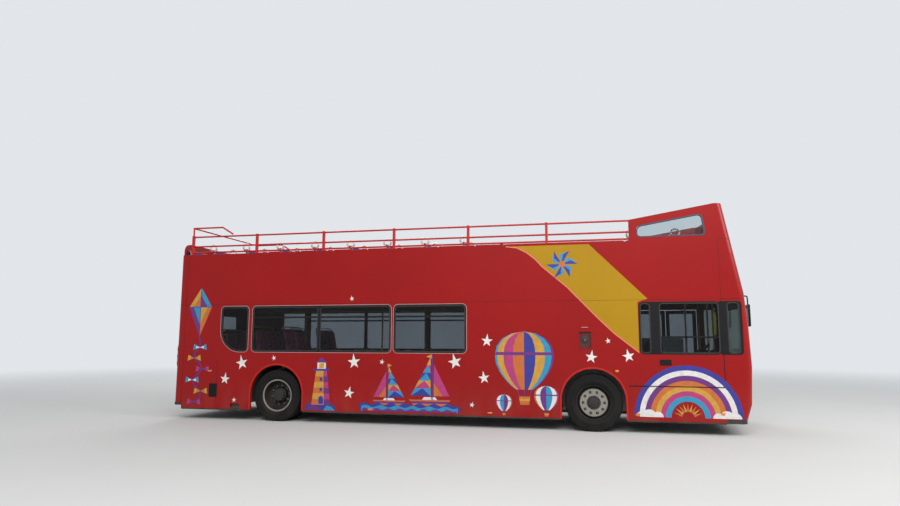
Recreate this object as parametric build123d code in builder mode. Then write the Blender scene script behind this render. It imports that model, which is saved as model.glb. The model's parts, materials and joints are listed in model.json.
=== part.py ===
"""Open top double decker bus, in millimetres.

X points forward, Y to the nearside (left) and Z up. The origin is on the ground under the
middle of the body. Each sub-part is built in its own block and written to one STEP file.
"""
from build123d import *
from math import atan2, cos, hypot, pi, radians, sin, sqrt
import os

os.makedirs("parts", exist_ok=True)

# Body, driving sizes
length = 10650
width = 2520
wall = 50
skirt_z = 210
bumper_z = 265
split_z = 2200
waist_z = 3207
cap_height = 27
cap_inset = 34
hood_top_z = 3807
rear_wall_top_z = 3450
rear_skirt_z = 260
corner_radius = 110
front_room = 400
bow_radius = 8000
rear_corner_radius = 80
front_seam = 520
rear_seam = 169
front_overhang = 2606
rear_overhang = 2189

# How far the front lies behind its foremost point: height, setback
nose_profile = [
    (265, 110),
    (500, 34),
    (1100, 0),
    (1780, 22),
    (2300, 64),
    (hood_top_z, 340),
]

# Seats between touching pieces, and running clearances
seat_gap = 0.3
glass_fit = 0.3
running_fit = 0.05
door_gap = 10
flap_gap = 6

# Places worked out from the driving sizes
half = width / 2
inner_y = half - wall
nose_x = length / 2
rear_x = -length / 2
front_axle_x = nose_x - front_overhang
rear_axle_x = rear_x + rear_overhang
front_seam_x = nose_x - front_seam
rear_seam_x = rear_x + rear_seam

# Wheel arches
arch_half = 530
arch_centre_z = 515

# Glazing
window_sill_z = 1310
window_head_z = 2145
window_radius = 60
rear_quarter_share = 100 / 139
glass_thickness = 6
glass_depth = 12

# Side windows, as distances behind the nose: rear edge, front edge. Those behind the last
# pillar keep their shares of the length that is left behind it.
last_pillar = 4809
window_zone = 5841
rear_stretch = (length - last_pillar) / window_zone
saloon_bays = [
    (4181, 2834),
    (2794, 1409),
    (1320, 0),
]
quarter_bay = (4858, 4302)
cab_windows = [
    (1808, 1641),
    (1498, 562),
]
nearside_windows = [
    (4720, 3300),
    (3210, 1890),
]
cab_quarter = (440, 250)
windscreen_half = half - 180
windscreen_sill_z = 1130
windscreen_head_z = 2110
windscreen_radius = 90
sign_half = half - 500
sign_z = (2400, 2700)
rear_window_half = half - 400
rear_window_z = (1450, 2050)

# Entrance on the nearside
door_rear = 1765
door_front = 565
door_z = (350, 2130)
door_thickness = 30
door_frame = 60
column_set = 25
column_radius = 18
column_offset = 45
arm_thickness = 16
arm_width = 30
pivot_radius = 8
leaf_start = 35

# Floors
floor_z = 330
floor_thickness = 40
rear_floor_z = 720
engine_deck_z = 1190
rear_floor_step = 836
engine_bulkhead = 905
upper_floor_z = 2360
upper_floor_thickness = 60
podium_z = 600
podium_inner_y = 930 - half
podium_rear = 1825
wheel_box_wall = 10
wheel_box_half = 600
wheel_box_z = 1060
box_y = half - 670
wheel_box_y = box_y + wheel_box_wall

# Wheels
tyre_radius = 478
tyre_width = 275
rim_radius = 298
front_wheel_y = half - 150
rear_outer_y = half - 162
twin_spacing = 315
kingpin_y = front_wheel_y - 180
stub_radius = 35
kingpin_radius = 20
steer_arm = 180
track_rod_z = 200

# Screen round the front of the open deck: distances behind the nose, shares of its height
hood_rear = 1943
hood_peak = 560
hood_height = hood_top_z - waist_z
hood_rear_top_z = waist_z + 0.617 * hood_height
hood_corner = 0.133 * hood_height
hood_glass_half = half - 250
hood_glass_z = (waist_z + 0.138 * hood_height, hood_top_z - 0.112 * hood_height)
quarter_light_x = (1825, 1808, 751, 696)
quarter_light_sill = 0.1 * hood_height
quarter_light_drop = 0.213 * hood_height

# Stairs, as distances behind the nose, and the rails of the open deck
stair_low = 4725
stair_high = 2610
stairwell_rear = 4145
stair_width = 640
stair_wall_gap = 10
rail_inset = 28
raised_length = 881
slope_length = 1114


def setback_at(z):
    """Setback of the front at one height, between the profile's own heights."""
    for (low, low_setback), (high, high_setback) in zip(nose_profile, nose_profile[1:]):
        if z <= high:
            share = (z - low) / (high - low)
            return low_setback + share * (high_setback - low_setback)
    return nose_profile[-1][1]


def behind_pillar(bay):
    """Distances behind the nose of a window's two edges, from those behind the last pillar."""
    return [last_pillar + edge * rear_stretch for edge in bay]


def behind_nose(distance):
    """Place along the bus of a point so far behind its foremost point."""
    return nose_x - distance


def side_plane(y):
    """Upright plane along the bus, whose normal points to the offside."""
    return Plane.XZ.offset(-y)


def block(x, y, z, mode=Mode.ADD):
    """Box between two places along each axis."""
    with Locations(((x[0] + x[1]) / 2, (y[0] + y[1]) / 2, (z[0] + z[1]) / 2)):
        Box(x[1] - x[0], y[1] - y[0], z[1] - z[0], mode=mode)


def rod(start, end, radius, mode=Mode.ADD):
    """Round bar between two points."""
    axis = Vector(*end) - Vector(*start)
    with Locations(Plane(origin=start, z_dir=axis)):
        Cylinder(radius, axis.length, align=(Align.CENTER, Align.CENTER, Align.MIN), mode=mode)


def front_body(heights, inset, back):
    """Solid inside the rounded front between heights, from the plane at back forward."""
    side = half - inset
    bow = bow_radius - inset
    corner = corner_radius - inset
    corner_y = side - corner
    reach = sqrt((bow - corner) ** 2 - corner_y**2)
    meet = atan2(corner_y, reach)
    middle = (meet + pi / 2) / 2
    with BuildPart() as body:
        for low, high in zip(heights, heights[1:]):
            bow_x = nose_x - setback_at(low) - inset - bow
            corner_x = bow_x + reach
            meet_x, meet_y = bow_x + bow * cos(meet), bow * sin(meet)
            middle_x, middle_y = corner_x + corner * cos(middle), corner_y + corner * sin(middle)
            lean = setback_at(high) - setback_at(low)
            with BuildSketch(Plane.XY.offset(low)):
                with BuildLine():
                    Line((back - front_room, -side), (corner_x, -side))
                    ThreePointArc((corner_x, -side), (middle_x, -middle_y), (meet_x, -meet_y))
                    ThreePointArc((meet_x, -meet_y), (bow_x + bow, 0), (meet_x, meet_y))
                    ThreePointArc((meet_x, meet_y), (middle_x, middle_y), (corner_x, side))
                    Line((corner_x, side), (back - front_room, side))
                    Line((back - front_room, side), (back - front_room, -side))
                make_face()
            extrude(amount=hypot(lean, high - low), dir=(-lean, 0, high - low))
        block(
            (back - 2 * front_room, back),
            (-half, half),
            (heights[0], heights[-1]),
            mode=Mode.SUBTRACT,
        )
    return body.part


def front_skin(heights, outer, inner, back):
    """Shell that follows the front, between two distances in from its surface."""
    whole = front_body(heights, outer, back)
    core = front_body(heights, inner, back - wall)
    with BuildPart() as skin:
        add(whole)
        add(core, mode=Mode.SUBTRACT)
    return skin.part


def window_sketch(plane, places, shrink):
    """Rounded side windows on one plane, each smaller all round by shrink."""
    with BuildSketch(plane) as panes:
        for rear, front in places:
            with Locations((behind_nose((rear + front) / 2), (window_sill_z + window_head_z) / 2)):
                RectangleRounded(
                    rear - front - 2 * shrink,
                    window_head_z - window_sill_z - 2 * shrink,
                    window_radius - shrink,
                )
    return panes.sketch


saloon_windows = [behind_pillar(bay) for bay in saloon_bays]
rear_quarter = behind_pillar(quarter_bay)
rear_quarter_radius = rear_quarter_share * (rear_quarter[0] - rear_quarter[1])


def rear_quarter_sketch(plane, shrink):
    """Rearmost side window, whose lower rear corner is one large arc."""
    rear, front = behind_nose(rear_quarter[0]) + shrink, behind_nose(rear_quarter[1]) - shrink
    low, high = window_sill_z + shrink, window_head_z - shrink
    sweep = rear_quarter_radius - shrink
    with BuildSketch(plane) as pane:
        with BuildLine():
            Line((rear, high), (rear, low + sweep))
            JernArc((rear, low + sweep), (0, -1), sweep, 90)
            Polyline((rear + sweep, low), (front, low), (front, high), (rear, high))
        make_face()
        tops = pane.vertices().group_by(Axis.Y)[-1]
        front_foot = pane.vertices().group_by(Axis.Y)[0].sort_by(Axis.X)[-1]
        fillet([*tops, front_foot], window_radius - shrink)
    return pane.sketch


def cross_sketch(x, half_y, z, radius, shrink):
    """Rounded opening across the bus, on the upright plane at x."""
    with BuildSketch(Plane.YZ.offset(x)) as opening:
        with Locations((0, (z[0] + z[1]) / 2)):
            RectangleRounded(
                2 * (half_y - shrink), z[1] - z[0] - 2 * shrink, radius - shrink
            )
    return opening.sketch


def raked_pane(z, half_y):
    """Bowed slab of glass that leans with the front at the middle of its two heights."""
    lean = atan2(setback_at(z[1]) - setback_at(z[0]), z[1] - z[0])
    middle = (z[0] + z[1]) / 2
    plane = Plane(
        origin=(nose_x - setback_at(middle), 0, middle),
        x_dir=(cos(lean), 0, sin(lean)),
        z_dir=(-sin(lean), 0, cos(lean)),
    )
    outer = bow_radius - glass_depth
    with BuildPart() as slab:
        with BuildSketch(plane):
            with Locations((-bow_radius, 0)):
                Circle(outer)
                Circle(outer - glass_thickness, mode=Mode.SUBTRACT)
            Rectangle(bow_radius / 10, 2 * half_y, mode=Mode.INTERSECT)
        extrude(amount=z[1] - z[0], both=True)
    return slab.part


def hood_line(distance):
    """Height of the hood's top edge at a distance behind the nose."""
    share = (hood_rear - distance) / (hood_rear - hood_peak)
    return hood_rear_top_z + share * (hood_top_z - hood_rear_top_z)


def hood_side_sketch(plane, shrink):
    """Quarter light in the side of the screen hood, on an upright plane along it."""
    sill = waist_z + quarter_light_sill
    rear_foot, rear_top, front_top, front_foot = quarter_light_x
    corners = [
        (behind_nose(rear_foot), sill),
        (behind_nose(rear_top), hood_line(rear_top) - quarter_light_drop),
        (behind_nose(front_top), hood_line(front_top) - quarter_light_drop),
        (behind_nose(front_foot), sill),
    ]
    with BuildSketch(plane) as pane:
        with BuildLine():
            Polyline(*corners, close=True)
        make_face()
        fillet(pane.vertices(), hood_corner)
        if shrink:
            offset(amount=-shrink, mode=Mode.REPLACE)
    return pane.sketch


def save(name, part):
    """Label one finished piece and write it as a STEP file."""
    part.label = name
    export_step(part, f"parts/{name}.step")


# Body shell

lower_heights = [bumper_z, 500, 1100, 1780, split_z]
upper_heights = [split_z, 2300, waist_z]
hood_heights = [waist_z, hood_top_z]
hood_rear_x = behind_nose(hood_rear)
windscreen_x = nose_x - 400


def side_wall(y, windows, filler):
    """Lower side wall from y towards the offside, with its arches and windows cut out."""
    plane = side_plane(y)
    centre_x, centre_z = (rear_seam_x + front_seam_x) / 2, (skirt_z + split_z) / 2
    openings = window_sketch(plane, windows, 0)
    quarter = rear_quarter_sketch(plane, 0)
    with BuildPart() as side:
        with BuildSketch(plane):
            with Locations((centre_x, centre_z)):
                Rectangle(front_seam_x - rear_seam_x, split_z - skirt_z)
            for axle_x in (front_axle_x, rear_axle_x):
                with Locations((axle_x, arch_centre_z)):
                    Circle(arch_half, mode=Mode.SUBTRACT)
                with Locations((axle_x, (skirt_z + arch_centre_z) / 2)):
                    Rectangle(2 * arch_half, arch_centre_z - skirt_z, mode=Mode.SUBTRACT)
            with Locations((behind_nose(notch_x), skirt_z + notch_height / 2)):
                Rectangle(2 * notch_half, notch_height, mode=Mode.SUBTRACT)
        extrude(amount=wall)
        extrude(openings, amount=wall, mode=Mode.SUBTRACT)
        extrude(quarter, amount=wall, mode=Mode.SUBTRACT)
        if filler:
            block(filler_x, (y - wall, y - wall + filler_depth), filler_z, mode=Mode.SUBTRACT)
        else:
            block(
                (behind_nose(door_rear), behind_nose(door_front)),
                (y - wall, y),
                door_z,
                mode=Mode.SUBTRACT,
            )
    return side.part


notch_x = length - 1333
notch_half = 100
notch_height = 100
filler_x = (behind_nose(2813), behind_nose(2622))
filler_z = (1382, 1667)
filler_depth = 30

offside_lower = side_wall(-inner_y, saloon_windows + cab_windows, True)
save("offside_lower_side", offside_lower)

nearside_lower = side_wall(half, saloon_windows + nearside_windows, False)
save("nearside_lower_side", nearside_lower)

with BuildPart() as offside_upper_side:
    block((rear_seam_x, front_seam_x), (-half, -inner_y), (split_z, waist_z))
    block(
        (rear_seam_x, front_seam_x),
        (-half, -inner_y + cap_inset),
        (waist_z - cap_height, waist_z),
    )
save("offside_upper_side", offside_upper_side.part)

with BuildPart() as nearside_upper_side:
    mirror(offside_upper_side.part, about=Plane.XZ)
save("nearside_upper_side", nearside_upper_side.part)

# Front panels

lower_skin = front_skin(lower_heights, 0, wall, front_seam_x)
windscreen_hole = cross_sketch(
    windscreen_x, windscreen_half, (windscreen_sill_z, windscreen_head_z), windscreen_radius, 0
)
quarter_hole = window_sketch(side_plane(half), [cab_quarter], 0)

lamp_y = (half - 500, half - 180)
lamp_z = (560, 760)
with BuildPart() as front_lower_panel:
    add(lower_skin)
    extrude(windscreen_hole, amount=wall + 400, mode=Mode.SUBTRACT)
    extrude(quarter_hole, amount=width, mode=Mode.SUBTRACT)
    for side in (-1, 1):
        block(
            (windscreen_x - 200, nose_x),
            sorted((side * lamp_y[0], side * lamp_y[1])),
            lamp_z,
            mode=Mode.SUBTRACT,
        )
save("front_lower_panel", front_lower_panel.part)

upper_skin = front_skin(upper_heights, 0, wall, front_seam_x)
sign_hole = cross_sketch(windscreen_x, sign_half, sign_z, window_radius, 0)
with BuildPart() as front_upper_panel:
    add(upper_skin)
    extrude(sign_hole, amount=wall + 400, mode=Mode.SUBTRACT)
save("front_upper_panel", front_upper_panel.part)

hood_skin = front_skin(hood_heights, 0, wall, hood_rear_x)
hood_front_x = nose_x - 600
hood_hole = cross_sketch(hood_front_x, hood_glass_half, hood_glass_z, hood_corner, 0)
hood_side_hole = hood_side_sketch(Plane.XZ, 0)
with BuildPart() as screen_hood:
    add(hood_skin)
    with BuildSketch(side_plane(half)):
        with BuildLine():
            Polyline(
                (hood_rear_x - wall, hood_line(hood_rear + wall)),
                (behind_nose(hood_peak), hood_top_z),
                (behind_nose(hood_peak), hood_top_z + wall),
                (hood_rear_x - wall, hood_top_z + wall),
                close=True,
            )
        make_face()
    extrude(amount=width, mode=Mode.SUBTRACT)
    extrude(hood_hole, amount=wall + 500, mode=Mode.SUBTRACT)
    extrude(hood_side_hole, amount=half, both=True, mode=Mode.SUBTRACT)
save("screen_hood", screen_hood.part)

# Rear end


def rear_shell(low, high):
    """Back wall with its two corners, as tall as asked."""
    with BuildPart() as shell:
        with BuildSketch(Plane.XY.offset(low)) as plan:
            with Locations(((rear_x + rear_seam_x) / 2, 0)):
                Rectangle(rear_seam, width)
            fillet(plan.vertices().group_by(Axis.X)[0], rear_corner_radius)
            with Locations(((rear_x + wall + rear_seam_x) / 2, 0)):
                Rectangle(rear_seam - wall, 2 * inner_y, mode=Mode.SUBTRACT)
        extrude(amount=high - low)
    return shell.part


flap_half = half - 380
flap_z = (436, 1136)
flap_set = 12
flap_thickness = 30
barrel_radius = 10
hinge_x = rear_x + flap_set
hinge_z = flap_z[1] + flap_set
lug_length = 30
barrel_length = 120
barrel_places = (-500, 500)
rear_lower_shell = rear_shell(rear_skirt_z, split_z)
rear_window_hole = cross_sketch(rear_x, rear_window_half, rear_window_z, window_radius, 0)
with BuildPart() as rear_lower_body:
    add(rear_lower_shell)
    extrude(rear_window_hole, amount=wall, mode=Mode.SUBTRACT)
    block(
        (rear_x, rear_x + wall),
        (-flap_half - flap_gap, flap_half + flap_gap),
        (flap_z[0] - flap_gap, hinge_z + barrel_radius + flap_gap),
        mode=Mode.SUBTRACT,
    )
    for y in barrel_places:
        for end in (-1, 1):
            inner = y + end * (barrel_length / 2 + seat_gap)
            outer = inner + end * lug_length
            rod((hinge_x, inner, hinge_z), (hinge_x, outer, hinge_z), barrel_radius)
            block(
                (hinge_x, hinge_x + barrel_radius),
                sorted((inner, outer)),
                (hinge_z, hinge_z + barrel_radius + flap_gap + 1),
            )
save("rear_lower_body", rear_lower_body.part)

louvre_count = 9
louvre_pitch = 64
louvre_length = 1300
louvre_height = 26
with BuildPart() as engine_door:
    block((hinge_x, hinge_x + flap_thickness), (-flap_half, flap_half), flap_z)
    with BuildSketch(Plane.YZ.offset(hinge_x)):
        with Locations((0, (flap_z[0] + flap_z[1]) / 2)):
            with GridLocations(0, louvre_pitch, 1, louvre_count):
                Rectangle(louvre_length, louvre_height)
    extrude(amount=flap_thickness, mode=Mode.SUBTRACT)
    for y in barrel_places:
        ends = (y - barrel_length / 2, y + barrel_length / 2)
        rod((hinge_x, ends[0], hinge_z), (hinge_x, ends[1], hinge_z), barrel_radius)
        block((hinge_x, hinge_x + barrel_radius), ends, (flap_z[1] - 1, hinge_z))
save("engine_door", engine_door.part)

rear_upper_shell = rear_shell(split_z, waist_z)
rear_top_radius = 150
with BuildPart() as rear_upper_panel:
    add(rear_upper_shell)
    with BuildSketch(Plane.YZ.offset(rear_x)) as crest:
        with Locations((0, (waist_z + rear_wall_top_z) / 2)):
            Rectangle(2 * (half - rear_corner_radius), rear_wall_top_z - waist_z)
        fillet(crest.vertices().group_by(Axis.Y)[-1], rear_top_radius)
    extrude(amount=wall)
save("rear_upper_panel", rear_upper_panel.part)

# Glazing


def side_glass(outer_y, places):
    """Panes in one lower side wall, whose outer face is at outer_y."""
    towards_offside = outer_y < 0
    pane_y = outer_y + glass_depth + glass_thickness if towards_offside else outer_y - glass_depth
    plane = side_plane(pane_y)
    panes = window_sketch(plane, places, glass_fit)
    quarter = rear_quarter_sketch(plane, glass_fit)
    with BuildPart() as glass:
        extrude(panes, amount=glass_thickness)
        extrude(quarter, amount=glass_thickness)
    return glass.part


offside_panes = side_glass(-half, saloon_windows + cab_windows)
nearside_panes = side_glass(half, saloon_windows + nearside_windows)
rear_pane = cross_sketch(
    rear_x + glass_depth, rear_window_half, rear_window_z, window_radius, glass_fit
)
with BuildPart() as saloon_glass:
    add(offside_panes)
    add(nearside_panes)
    extrude(rear_pane, amount=glass_thickness)
save("saloon_glass", saloon_glass.part)

windscreen_z = (windscreen_sill_z, windscreen_head_z)
windscreen_slab = raked_pane(windscreen_z, windscreen_half)
windscreen_pane = cross_sketch(
    windscreen_x, windscreen_half, windscreen_z, windscreen_radius, glass_fit
)
with BuildPart() as windscreen:
    add(windscreen_slab)
    extrude(windscreen_pane, amount=wall + 400, mode=Mode.INTERSECT)

sign_slab = raked_pane(sign_z, sign_half)
sign_pane = cross_sketch(windscreen_x, sign_half, sign_z, window_radius, glass_fit)
with BuildPart() as sign_front:
    add(sign_slab)
    extrude(sign_pane, amount=wall + 400, mode=Mode.INTERSECT)

quarter_pane = window_sketch(side_plane(half - glass_depth), [cab_quarter], glass_fit)
with BuildPart() as cab_quarter_pane:
    extrude(quarter_pane, amount=glass_thickness)
with BuildPart() as front_glass:
    add(windscreen.part)
    add(sign_front.part)
    add(cab_quarter_pane.part)
    mirror(cab_quarter_pane.part, about=Plane.XZ)
save("front_glass", front_glass.part)

hood_slab = raked_pane(hood_glass_z, hood_glass_half)
hood_pane = cross_sketch(hood_front_x, hood_glass_half, hood_glass_z, hood_corner, glass_fit)
hood_side_pane = hood_side_sketch(side_plane(half - glass_depth), glass_fit)
with BuildPart() as hood_front_pane:
    add(hood_slab)
    extrude(hood_pane, amount=wall + 500, mode=Mode.INTERSECT)
with BuildPart() as hood_quarter:
    extrude(hood_side_pane, amount=glass_thickness)
with BuildPart() as hood_glass:
    add(hood_front_pane.part)
    add(hood_quarter.part)
    mirror(hood_quarter.part, about=Plane.XZ)
save("hood_glass", hood_glass.part)

# Floors and wheel boxes

floor_low = floor_z - floor_thickness
rear_step_x = rear_axle_x + rear_floor_step
bulkhead_x = rear_x + engine_bulkhead
floor_side = inner_y
rear_floor_low = rear_floor_z - floor_thickness
axle_floors = ((front_axle_x, floor_low), (rear_axle_x, rear_floor_low))


def wheel_notches(axle_x, z):
    """Cuts the places of both wheel boxes of one axle out of a floor."""
    for side in (-1, 1):
        block(
            (axle_x - wheel_box_half, axle_x + wheel_box_half),
            sorted((side * box_y, side * (floor_side + 1))),
            (z - 1, z + floor_thickness + 1),
            mode=Mode.SUBTRACT,
        )


front_floor = front_body([floor_low, floor_z], wall + seat_gap, front_seam_x)
with BuildPart() as lower_floor:
    block((rear_step_x, front_seam_x), (-floor_side, floor_side), (floor_low, floor_z))
    add(front_floor)
    wheel_notches(front_axle_x, floor_low)
save("lower_floor", lower_floor.part)

with BuildPart() as rear_floor:
    block(
        (rear_step_x - floor_thickness, rear_step_x),
        (-floor_side, floor_side),
        (floor_low, rear_floor_z),
    )
    block((bulkhead_x, rear_step_x), (-floor_side, floor_side), (rear_floor_low, rear_floor_z))
    block(
        (bulkhead_x - floor_thickness, bulkhead_x),
        (-floor_side, floor_side),
        (rear_floor_low, engine_deck_z),
    )
    block(
        (rear_x + wall, bulkhead_x),
        (-floor_side, floor_side),
        (engine_deck_z - floor_thickness, engine_deck_z),
    )
    wheel_notches(rear_axle_x, rear_floor_low)
save("rear_floor", rear_floor.part)

with BuildPart() as wheel_boxes:
    for axle_x, low in axle_floors:
        for side in (-1, 1):
            block(
                (axle_x - wheel_box_half, axle_x + wheel_box_half),
                sorted((side * box_y, side * floor_side)),
                (low, wheel_box_z),
            )
            block(
                (axle_x - wheel_box_half + wheel_box_wall, axle_x + wheel_box_half - wheel_box_wall),
                sorted((side * wheel_box_y, side * (floor_side + 1))),
                (low - 1, wheel_box_z - wheel_box_wall),
                mode=Mode.SUBTRACT,
            )
save("wheel_boxes", wheel_boxes.part)

podium_x = (behind_nose(podium_rear), front_seam_x)
with BuildPart() as cab_podium:
    block(podium_x, (-floor_side, podium_inner_y), (floor_z, podium_z))
    block(
        (podium_x[0] + floor_thickness, podium_x[1] - floor_thickness),
        (-floor_side - 1, podium_inner_y - floor_thickness),
        (floor_z - 1, podium_z - floor_thickness),
        mode=Mode.SUBTRACT,
    )
save("cab_podium", cab_podium.part)

stair_low_x = behind_nose(stair_low)
stair_high_x = behind_nose(stair_high)
stair_y = (stair_wall_gap - inner_y, stair_wall_gap + stair_width - inner_y)
stair_risers = 9
stairwell_x = (behind_nose(stairwell_rear), stair_high_x)
upper_low = upper_floor_z - upper_floor_thickness
upper_front = front_body([upper_low, upper_floor_z], wall + seat_gap, front_seam_x)
with BuildPart() as upper_floor:
    block((rear_x + wall, front_seam_x), (-inner_y, inner_y), (upper_low, upper_floor_z))
    add(upper_front)
    block(stairwell_x, stair_y, (upper_low, upper_floor_z), mode=Mode.SUBTRACT)
save("upper_floor", upper_floor.part)

# Staircase

stair_rise = (upper_floor_z - floor_z) / stair_risers
stair_going = (stair_high_x - stair_low_x) / stair_risers
stair_depth = 160
guard_top_z = 3260
guard_thickness = 30
guard_gap = 6
with BuildPart() as staircase:
    steps = [(stair_low_x, floor_z)]
    for step in range(stair_risers):
        top = floor_z + (step + 1) * stair_rise
        steps.append((stair_low_x + step * stair_going, top))
        steps.append((stair_low_x + (step + 1) * stair_going, top))
    steps[-1] = (stair_high_x, upper_floor_z)
    under = [
        (stair_high_x, upper_floor_z - stair_depth),
        (stair_low_x + stair_depth, floor_z),
    ]
    with BuildSketch(side_plane(stair_y[1] - seat_gap)):
        with BuildLine():
            Polyline(*steps, *under, close=True)
        make_face()
    extrude(amount=stair_y[1] - stair_y[0] - 2 * seat_gap)
save("staircase", staircase.part)

with BuildPart() as stair_guard:
    block(
        (stairwell_x[0] - guard_thickness, stairwell_x[1]),
        (stair_y[1], stair_y[1] + guard_thickness),
        (upper_floor_z, guard_top_z),
    )
    block(
        (stairwell_x[0] - guard_thickness, stairwell_x[0]),
        (-inner_y + cap_inset + guard_gap, stair_y[1]),
        (upper_floor_z, guard_top_z),
    )
save("stair_guard", stair_guard.part)

# Seats

seat_width = 880
cushion_thickness = 80
cushion_length = 420
back_lean = 110
back_thickness = 70
back_height = 550
floor_plinth = 400
box_plinth = 120
plinth_x = (90, 330)
plinth_half = 165
seat_pitch = 740
box_seat_pitch = 620
knee_room = 500
last_seat = 130


def seat_pair(plinth):
    """Double seat, its back at x = 0 on the floor, on a plinth of the given height."""
    top = plinth + back_height
    with BuildPart() as seat:
        with BuildSketch(side_plane(seat_width / 2)):
            with BuildLine():
                Polyline(
                    (0, plinth),
                    (cushion_length, plinth),
                    (cushion_length, plinth + cushion_thickness),
                    (back_thickness, plinth + cushion_thickness),
                    (back_thickness - back_lean, top),
                    (-back_lean, top),
                    close=True,
                )
            make_face()
        extrude(amount=seat_width)
        block(plinth_x, (-plinth_half, plinth_half), (0, plinth))
    return seat.part


pair = seat_pair(floor_plinth)
box_pair = seat_pair(box_plinth)
seat_height = floor_plinth + back_height
seat_y = inner_y - cap_inset - 2 - seat_width / 2


def places_between(start, end, pitch):
    """Places of a row of seats that starts at one place and stays behind another."""
    count = int((end - start) // pitch) + 1
    return [start + pitch * i for i in range(count)]


upper_row = places_between(rear_x + 700, behind_nose(1060), seat_pitch)
lower_row = places_between(
    rear_step_x + 200, front_axle_x - wheel_box_half - knee_room, seat_pitch
)
box_row = places_between(rear_axle_x - 480, rear_axle_x + 200, box_seat_pitch)


def clear_of_stairs(places, low, high):
    """Seats that leave the stairs and the way to them free."""
    return [x for x in places if x + knee_room < low or x > high + 150]


with BuildPart() as upper_seats:
    with Locations(*[(x, seat_y, upper_floor_z) for x in upper_row]):
        add(pair)
    offside_row = clear_of_stairs(upper_row, stairwell_x[0], stairwell_x[1])
    with Locations(*[(x, -seat_y, upper_floor_z) for x in offside_row]):
        add(pair)
save("upper_seats", upper_seats.part)

box_seat_y = floor_side - 1 - seat_width / 2
with BuildPart() as lower_seats:
    with Locations(*[(x, seat_y, floor_z) for x in lower_row]):
        add(pair)
    with Locations(*[(x, -seat_y, floor_z) for x in clear_of_stairs(lower_row, stair_low_x, nose_x)]):
        add(pair)
    for side in (-1, 1):
        with Locations(*[(x, side * box_seat_y, wheel_box_z) for x in box_row]):
            add(box_pair)
        with Locations((bulkhead_x + last_seat, side * seat_y, rear_floor_z)):
            add(pair)
save("lower_seats", lower_seats.part)

bench_half = inner_y - 60
bench_back = 80
bench_cushion = 100
bench_height = 560
bench_set = 450
lower_bench_x = rear_x + bench_set
upper_bench_x = rear_x + wall + bench_back
with BuildPart() as rear_benches:
    block(
        (lower_bench_x, bulkhead_x - 20),
        (-bench_half, bench_half),
        (engine_deck_z, engine_deck_z + bench_cushion),
    )
    block(
        (lower_bench_x - bench_back, lower_bench_x),
        (-bench_half, bench_half),
        (engine_deck_z, engine_deck_z + bench_height),
    )
    block(
        (upper_bench_x, upper_bench_x + cushion_length),
        (-bench_half, bench_half),
        (upper_floor_z, upper_floor_z + floor_plinth + cushion_thickness),
    )
    block(
        (rear_x + wall, upper_bench_x),
        (-bench_half, bench_half),
        (upper_floor_z, upper_floor_z + seat_height - 50),
    )
save("rear_benches", rear_benches.part)

# Rails round the open deck

post_start = rear_x + 237
post_pitch = 1414
post_count = 6
post_half = 22
rail_radius = 16
rail_y = half - rail_inset
rail_steps = (50, 171, 368)
post_height = 385
raised_height = 543
rail_heights = [waist_z + step for step in rail_steps]
post_top_z = waist_z + post_height
raised_z = waist_z + raised_height
raised_front = rear_x + raised_length
slope_front = rear_x + slope_length


with BuildPart() as side_rails:
    for side in (-1, 1):
        y = side * rail_y
        inboard = side * (rail_y - post_half - rail_radius - seat_gap)
        post_y = sorted((y - post_half, y + post_half))
        for i in range(post_count):
            x = post_start + i * post_pitch
            block((x - post_half, x + post_half), post_y, (waist_z, post_top_z))
        for z in rail_heights:
            rod((post_start - post_half, inboard, z), (hood_rear_x, inboard, z), rail_radius)
save("side_rails", side_rails.part)

with BuildPart() as rear_rail:
    foot_z = post_top_z + rail_radius + seat_gap
    with BuildLine() as loop_path:
        Polyline(
            (slope_front, -rail_y, foot_z),
            (raised_front, -rail_y, raised_z),
            (post_start, -rail_y, raised_z),
            (post_start, rail_y, raised_z),
            (raised_front, rail_y, raised_z),
            (slope_front, rail_y, foot_z),
        )
    with BuildSketch(Plane(origin=loop_path.line @ 0, z_dir=loop_path.line % 0)):
        Circle(rail_radius)
    sweep(transition=Transition.RIGHT)
    for side in (-1, 1):
        rod(
            (post_start, side * rail_y, post_top_z + seat_gap),
            (post_start, side * rail_y, raised_z),
            rail_radius,
        )
save("rear_rail", rear_rail.part)

# Cab

dash_rear = 720
dash_top_z = 1120
partition_x = behind_nose(podium_rear)
partition_thickness = 30
partition_top_z = 2150
cab_door_thickness = 30
cab_door_width = 760
cab_door_z = (podium_z + 20, 1560)
cab_hinge_x = partition_x + partition_thickness + 12
cab_hinge_y = podium_inner_y + 30
hinge_radius = 10
cab_hinge_z = (700, 1450)
hinge_half = 40
with BuildPart() as cab_partition:
    block(
        (partition_x, partition_x + partition_thickness),
        (-inner_y, cab_hinge_y - 12),
        (podium_z, partition_top_z),
    )
    for z in cab_hinge_z:
        for end in (-1, 1):
            near = z + end * (hinge_half + seat_gap)
            far = near + end * hinge_half
            block(
                (partition_x + partition_thickness - 10, cab_hinge_x + hinge_radius),
                (cab_hinge_y - 20, cab_hinge_y + hinge_radius),
                sorted((near, far)),
            )
save("cab_partition", cab_partition.part)

with BuildPart() as cab_door:
    block(
        (cab_hinge_x + 16, cab_hinge_x + cab_door_width),
        (cab_hinge_y - cab_door_thickness / 2, cab_hinge_y + cab_door_thickness / 2),
        cab_door_z,
    )
    for z in cab_hinge_z:
        rod(
            (cab_hinge_x, cab_hinge_y, z - hinge_half),
            (cab_hinge_x, cab_hinge_y, z + hinge_half),
            hinge_radius,
        )
        block(
            (cab_hinge_x, cab_hinge_x + 20),
            (cab_hinge_y - 6, cab_hinge_y + 6),
            (z - hinge_half, z + hinge_half),
        )
save("cab_door", cab_door.part)

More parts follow.
